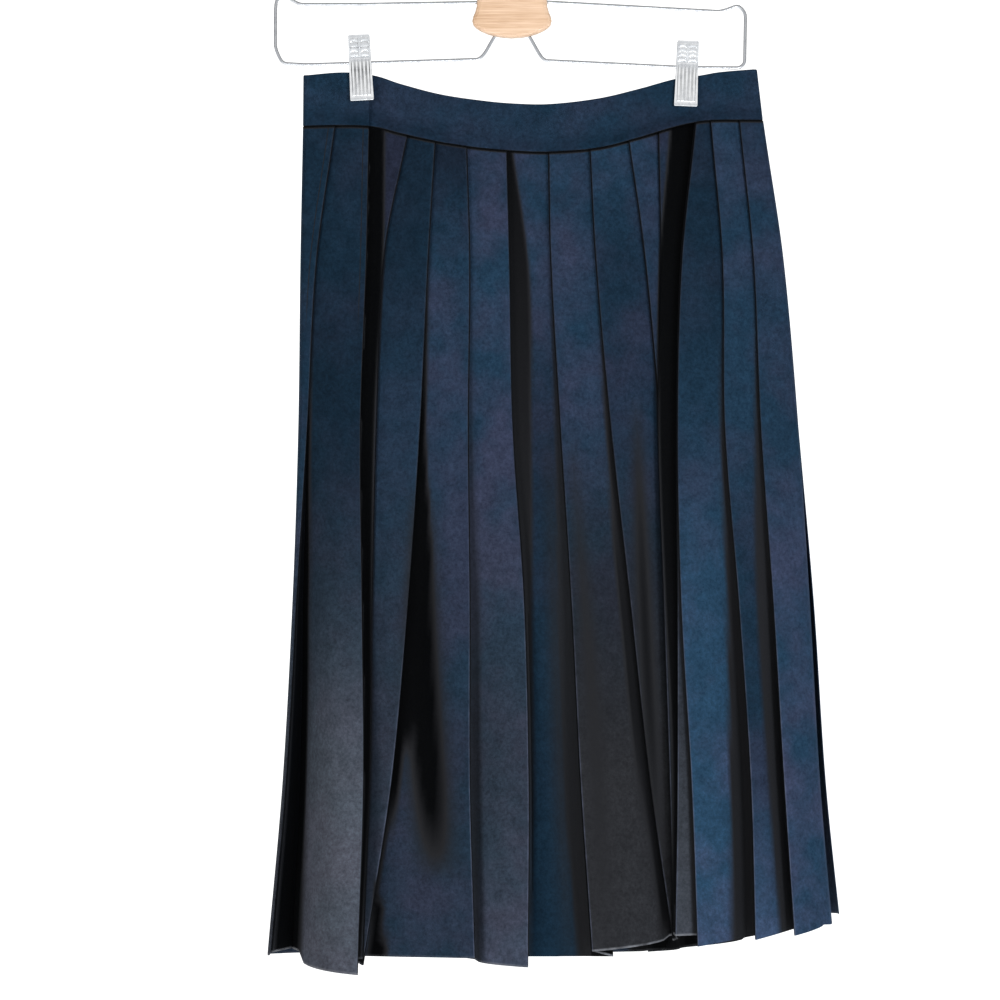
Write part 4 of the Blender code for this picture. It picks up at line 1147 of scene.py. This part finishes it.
def make_surroundings():
    """White to look at, a faint cool fill, and a glow from the front for what is glossy."""
    world = bpy.data.worlds.new("studio")
    world.use_nodes = True
    world.node_tree.nodes.clear()
    sky = Nodes(world.node_tree)
    direction = sky.add("ShaderNodeTexCoord", output="Generated")
    depth = sky.add("ShaderNodeSeparateXYZ", {}, (direction,), output="Y")
    sockets = {"Value": depth, **FRONT_GLOW}
    glow = sky.add("ShaderNodeMapRange", {"interpolation_type": "SMOOTHSTEP"}, sockets)
    seen = sky.add("ShaderNodeBackground", {}, (WHITE, SEEN_STRENGTH))
    fill = sky.add("ShaderNodeBackground", {}, (FILL_COLOUR, FILL_STRENGTH))
    mirrored = sky.add("ShaderNodeBackground", {}, (WHITE, glow))
    by_gloss = sky.add("ShaderNodeLightPath", output="Is Glossy Ray")
    by_camera = sky.add("ShaderNodeLightPath", output="Is Camera Ray")
    lit = sky.add("ShaderNodeMixShader", {}, (by_gloss, fill, mirrored))
    sky.add("ShaderNodeOutputWorld", {}, (sky.add("ShaderNodeMixShader", {}, (by_camera, lit, seen)),))
    bpy.context.scene.world = world


def make_floor():
    """A pale floor far below the hem."""
    mesh = bpy.data.meshes.new("floor")
    turns = ((-1, -1), (1, -1), (1, 1), (-1, 1))
    corners = [(x * FLOOR_REACH, y * FLOOR_REACH, FLOOR_HEIGHT) for x, y in turns]
    mesh.from_pydata(corners, [], [(0, 1, 2, 3)])
    paint = Shader("floor_paint", (0.86, 0.86, 0.85), Roughness=0.8)
    paint.set("Emission Color", WHITE)
    paint.set("Emission Strength", FLOOR_GLOW)
    mesh.materials.append(paint.material)
    floor = bpy.data.objects.new("floor", mesh)
    bpy.context.scene.collection.objects.link(floor)


def make_studio():
    make_surroundings()
    make_floor()
    for light in LIGHTS:
        soft_light(*light)
    settings = bpy.context.scene.view_settings
    settings.view_transform = "Standard"
    settings.look = "Medium High Contrast"


def make_skirt(cloth):
    thicknesses = np.full(len(shell_levels()), CLOTH)
    thicknesses[-1] *= HEM_THINNING
    front = skirt_rows(LEFT_FOLDS, RIGHT_FOLDS, LEFT_SIDE, FRONT_RIGHT_SIDE, 1)
    lap = cloth_wall("lap_cloth", front[0], thicknesses, cloth, ["skirt_lap"])
    middle = cloth_wall("front_cloth", front[1], thicknesses, cloth, ["skirt_front"])
    back = skirt_rows(back_folds(-1), back_folds(1), LEFT_SIDE, BACK_RIGHT_SIDE, -1)
    behind = cloth_wall("back_cloth", back[0], thicknesses, cloth, ["skirt_back"])
    add_point_values(lap.data, "lap", np.ones(len(lap.data.vertices)))


def make_bands(cloth):
    thicknesses = np.array([BAND * share for _, share in BAND_ROWS])
    lap = band_rows(None, LEFT_FOLDS[1].x200, lap_band_y, 1)
    front = band_rows(LAP_START, None, front_band_y, 1)
    back = band_rows(None, None, back_band_y, -1)
    for name, rows, node in (
        ("lap_band", lap, "waistband_lap"),
        ("front_band", front, "waistband_front"),
        ("back_band", back, "waistband_back"),
    ):
        cloth_wall(name, rows, thicknesses, cloth, [node])


# The four ends of the wires at the wood: from (X, drop) at the bent wire to the same inside it
WIRE_RADIUS = 1.2
WIRE_END_SIDES = 16
WIRE_ENDS = {
    "wire_end_upper_left": ((-27.8, 94.2), (-26.6, 94.2)),
    "wire_end_upper_right": ((27.8, 93.9), (26.6, 93.9)),
    "wire_end_lower_left": ((-14.3, 121.9), (-13.1, 119.8)),
    "wire_end_lower_right": ((14.3, 121.9), (13.1, 119.8)),
}

# The clips' jaws: heights above the wire, and the plate's and flanges' distances from the
# middle, as in the CAD model's solids
Clip = namedtuple("Clip", "name x wire_drop handle jaw tilt touch")
CLIPS = (
    Clip("clip_left", -117.9, 141.3, 22.0, 29.2, -3.0, 3.7),
    Clip("clip_right", 136.1, 144.8, 20.7, 30.2, 2.2, 2.5),
)
JawRow = namedtuple("JawRow", "z plate flange")
HANDLE_ROWS = (JawRow(1.0, 8.5, 6.8), JawRow(0.55, 6.3, 3.8), JawRow(0.22, 4.3, 1.9))
WIRE_ROW = JawRow(0.0, 3.35, 1.55)
BEND_Z = -5.5
BEND_PLATE = 0.6
BEND_FLANGE = 0.8
GRIP_Z = -7.0
GRIP_SEAT = 1.25
FOOT_ROUND = 2.5
FOOT_SEAT = 1.0
JAW_TOP_WIDTH = 16.4
JAW_FOOT_WIDTH = 18.4
JAW_PLATE = 0.9
JAW_MARGIN = 0.9
CORNER_HEIGHT = 0.9
CORNER_WIDTH = 0.93
BLANK_DEPTH = 2.0
HAIR = 0.01

# Bumps for the thumb, cut at shares of the jaw's half width, and ribs below them
SCALLOP_TOP = 2.3
SCALLOP_END = 4.2
SCALLOP_ROWS = 4
SCALLOP_CUTS = (-1, -0.55, -0.1, 0.1, 0.55, 1)
SCALLOP_START = 0.12
SCALLOP_STOP = 0.98
SCALLOP_ARCH = 1.1
ARCH_START = 0.3
ARCH_STOP = 0.7
SCALLOP_WALL = 0.6
SCALLOP_RISE = 0.6
FLUTE_START = 3.4
FLUTE_END = 3.6
FLUTES = 5
FLUTE_WALL = 0.7
FLUTE_RISE = 0.5
BEVEL_WIDTH = 0.22
BEVEL_SEGMENTS = 2
BEVEL_ANGLE = math.radians(25)
SMOOTH_ANGLE = math.radians(50)


def jaw_profile(clip):
    """The jaw's rows from its top to its foot: height, plate distance, flange distance."""
    seat = clip.touch + GRIP_SEAT
    bend_plate = mix(WIRE_ROW.plate, seat, BEND_PLATE)
    bend_flange = mix(WIRE_ROW.flange, clip.touch, BEND_FLANGE)
    return (
        *(row._replace(z=row.z * clip.handle) for row in HANDLE_ROWS),
        WIRE_ROW,
        JawRow(BEND_Z, bend_plate, bend_flange),
        JawRow(GRIP_Z, seat, clip.touch),
        JawRow(FOOT_ROUND - clip.jaw, seat, clip.touch),
        JawRow(-clip.jaw, clip.touch + FOOT_SEAT, clip.touch),
    )


def profile_at(profile, z, field):
    """A jaw's plate or flange distance at a height, on straight lines between its rows."""
    for upper, lower in zip(profile, profile[1:]):
        if z >= lower.z - NEARLY:
            share = (upper.z - z) / (upper.z - lower.z)
            return mix(getattr(upper, field), getattr(lower, field), share)
    return getattr(profile[-1], field)


def pick(piece, kind, wanted):
    """Select the vertices or faces of a mesh in edit mode that a test wants."""
    bpy.ops.mesh.select_all(action="DESELECT")
    bpy.ops.mesh.select_mode(type="VERT" if kind == "verts" else "FACE")
    shape = bmesh.from_edit_mesh(piece.data)
    for item in getattr(shape, kind):
        item.select_set(wanted(item))
    shape.select_flush_mode()
    bmesh.update_edit_mesh(piece.data)


def cut_across(piece, wanted, place, normal):
    pick(piece, "faces", wanted)
    bpy.ops.mesh.bisect(plane_co=place, plane_no=normal)


def faces_front(face):
    return face.normal.y < -0.7


def faces_back(face):
    return face.normal.y > 0.7


def height_of(face):
    return face.calc_center_median().z / MM


def across_of(face):
    return face.calc_center_median().x / MM


def shift(x=0.0, y=0.0, z=0.0):
    bpy.ops.transform.translate(value=(x * MM, y * MM, z * MM))


def inset(thickness, depth):
    bpy.ops.mesh.inset(thickness=thickness * MM, depth=depth * MM, use_even_offset=True)


def at_height(corner, z):
    return abs(corner.co.z / MM - z) < HAIR


def shape_rows(jaw, profile, heights):
    """Bring each cut row of the plain block to the jaw's width and its two depths."""
    top, foot = profile[0].z, profile[-1].z
    half = BLANK_DEPTH / 2
    for z in heights:
        width = mix(JAW_TOP_WIDTH, JAW_FOOT_WIDTH, (top - z) / (top - foot)) / JAW_FOOT_WIDTH
        width *= CORNER_WIDTH if z in (top, foot) else 1
        pick(jaw, "verts", lambda corner: at_height(corner, z))
        bpy.ops.transform.resize(value=(width, 1, 1))
        pick(jaw, "verts", lambda corner: at_height(corner, z) and corner.co.y < 0)
        shift(y=-profile_at(profile, z, "plate") - JAW_PLATE / 2 + half)
        pick(jaw, "verts", lambda corner: at_height(corner, z) and abs(corner.co.y / MM - half) < HAIR)
        shift(y=-profile_at(profile, z, "flange") - half)


def hollow_back(jaw, profile):
    """Leave a rim round the jaw's back and push its middle in to the plate's thickness."""
    pick(jaw, "faces", faces_back)
    inset(JAW_PLATE, 0.0)
    shape = bmesh.from_edit_mesh(jaw.data)
    shape.verts.index_update()
    corners = [corner for face in shape.faces if face.select for corner in face.verts]
    inner = {corner.index for corner in corners}
    heights = sorted({round(corner.co.z / MM, 2) for corner in corners})
    for z in heights:
        pick(jaw, "verts", lambda corner: corner.index in inner and at_height(corner, z))
        shift(y=profile_at(profile, z, "flange") - profile_at(profile, z, "plate") + JAW_PLATE / 2)


def press_scallops(jaw, rows, reach):
    """Two columns of arched bumps for the thumb."""
    for z in rows[1:]:
        pick(jaw, "verts", lambda corner: at_height(corner, z) and corner.co.y < 0
             and corner.link_faces[0].normal.y < 0
             and ARCH_START * reach < abs(corner.co.x / MM) < ARCH_STOP * reach)
        shift(z=SCALLOP_ARCH)
    for high, low in zip(rows, rows[1:]):
        for side in (-1, 1):
            pick(jaw, "faces", lambda face: faces_front(face)
                 and abs(height_of(face) - SCALLOP_ARCH / 2 - (high + low) / 2) < (high - low) / 2
                 and SCALLOP_START * reach < side * across_of(face) < SCALLOP_STOP * reach)
            inset(SCALLOP_WALL, SCALLOP_RISE)


def press_flutes(jaw, high, low, reach):
    """Upright ribs side by side, below the scallops."""
    for number in range(FLUTES):
        left = mix(-reach, reach, number / FLUTES)
        right = mix(-reach, reach, (number + 1) / FLUTES)
        pick(jaw, "faces", lambda face: faces_front(face) and low < height_of(face) < high
             and left < across_of(face) < right)
        inset(FLUTE_WALL, FLUTE_RISE)


def plain_blank(top, foot):
    """The block that a jaw is shaped from, all selected in edit mode."""
    bpy.ops.object.select_all(action="DESELECT")
    bpy.ops.mesh.primitive_cube_add(size=MM, location=(0, 0, 0))
    blank = bpy.context.active_object
    bpy.ops.object.mode_set(mode="EDIT")
    bpy.ops.mesh.select_all(action="SELECT")
    bpy.ops.transform.resize(value=(JAW_FOOT_WIDTH, BLANK_DEPTH, top - foot))
    shift(z=(top + foot) / 2)
    return blank


def cut_upright(jaw, x, low, high):
    """Cut the front between two heights by an upright plane."""
    cut_across(
        jaw, lambda face: faces_front(face) and low < height_of(face) < high, (x * MM, 0, 0), (1, 0, 0),
    )


def soften_edges(jaw):
    bevel = jaw.modifiers.new("soft_edges", "BEVEL")
    bevel.width = BEVEL_WIDTH * MM
    bevel.segments = BEVEL_SEGMENTS
    bevel.limit_method = "ANGLE"
    bevel.angle_limit = BEVEL_ANGLE
    bpy.ops.object.modifier_apply(modifier=bevel.name)
    bpy.ops.object.shade_smooth_by_angle(angle=SMOOTH_ANGLE)


def make_jaw(clip, steel):
    """One jaw, pressed from a steel plate: bumps for the thumb above, ribs below."""
    profile = jaw_profile(clip)
    top, foot = profile[0].z, profile[-1].z
    jaw = plain_blank(top, foot)
    scallop_high = top - SCALLOP_TOP
    pitch = (scallop_high - SCALLOP_END) / SCALLOP_ROWS
    scallop_rows = [scallop_high - pitch * number for number in range(SCALLOP_ROWS + 1)]
    flute_high, flute_low = FLUTE_START, foot + FLUTE_END
    corners = {top - CORNER_HEIGHT, foot + CORNER_HEIGHT}
    cuts = sorted({row.z for row in profile[1:-1]} | set(scallop_rows) | corners | {flute_high, flute_low})
    for z in cuts:
        cut_across(jaw, lambda face: True, (0, 0, z * MM), (0, 0, 1))
    shape_rows(jaw, profile, [foot, *cuts, top])
    hollow_back(jaw, profile)
    reach = JAW_TOP_WIDTH / 2 - JAW_MARGIN
    for share in SCALLOP_CUTS:
        cut_upright(jaw, reach * share, scallop_rows[-1], scallop_high)
    for number in range(FLUTES + 1):
        cut_upright(jaw, mix(-reach, reach, number / FLUTES), flute_low, flute_high)
    press_scallops(jaw, scallop_rows, reach)
    press_flutes(jaw, flute_high, flute_low, reach)
    bpy.ops.mesh.select_all(action="SELECT")
    bpy.ops.mesh.normals_make_consistent(inside=False)
    bpy.ops.object.mode_set(mode="OBJECT")
    soften_edges(jaw)
    jaw.data.materials.append(steel)
    return jaw


def make_jaws(clip, steel):
    """Both jaws of a clip, the back one a copy of the front one turned round."""
    near = make_jaw(clip, steel)
    far = near.copy()
    far.data = near.data.copy()
    bpy.context.scene.collection.objects.link(far)
    for jaw, name, turn in ((near, "front_jaw", 0), (far, "back_jaw", math.pi)):
        jaw.name = clip.name + "_pressed_" + name
        jaw.data.name = jaw.name
        place = Matrix.Translation((clip.x * MM, 0, -clip.wire_drop * MM))
        tilt = Matrix.Rotation(math.radians(clip.tilt), 4, "Y")
        jaw.data.transform(place @ tilt @ Matrix.Rotation(turn, 4, "Z"))
        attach(jaw, BODY)
        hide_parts(clip.name + "_" + name)


def make_wire_end(name, near, far, steel):
    """The end of a wire, from its bend to just inside the wood, between two (X, drop) places."""
    middle = Vector(((near[0] + far[0]) / 2, 0, -(near[1] + far[1]) / 2)) * MM
    along = Vector((far[0] - near[0], 0, near[1] - far[1])) * MM
    bpy.ops.object.select_all(action="DESELECT")
    bpy.ops.mesh.primitive_cylinder_add(
        vertices=WIRE_END_SIDES, radius=WIRE_RADIUS * MM, depth=along.length, location=(0, 0, 0),
    )
    end = bpy.context.active_object
    bpy.ops.object.shade_smooth_by_angle(angle=SMOOTH_ANGLE)
    end.name = name
    end.data.name = name
    turn = along.to_track_quat("Z", "Y").to_matrix().to_4x4()
    end.data.transform(Matrix.Translation(middle) @ turn)
    end.data.materials.append(steel)
    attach(end, BODY)


def dress_nodes(looks):
    """Give every CAD node that stays its detailed finish."""
    for name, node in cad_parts.items():
        for start, look in looks.items():
            if name.startswith(start):
                node.data.materials.clear()
                node.data.materials.append(look)


make_camera()
make_studio()
crepe = navy_crepe()
bright_steel = chromed_steel("chromed_steel", *CLIP_STEEL)
wire_steel = chromed_steel("wire_steel", *WIRE_STEEL)
dress_nodes({
    "hanger_wood": pale_wood(), "hanger_hook": wire_steel, "hanger_wire": wire_steel, "clip": bright_steel,
})
make_skirt(crepe)
make_bands(crepe)
for clip in CLIPS:
    make_jaws(clip, bright_steel)
for name, (near, far) in WIRE_ENDS.items():
    make_wire_end(name, near, far, wire_steel)
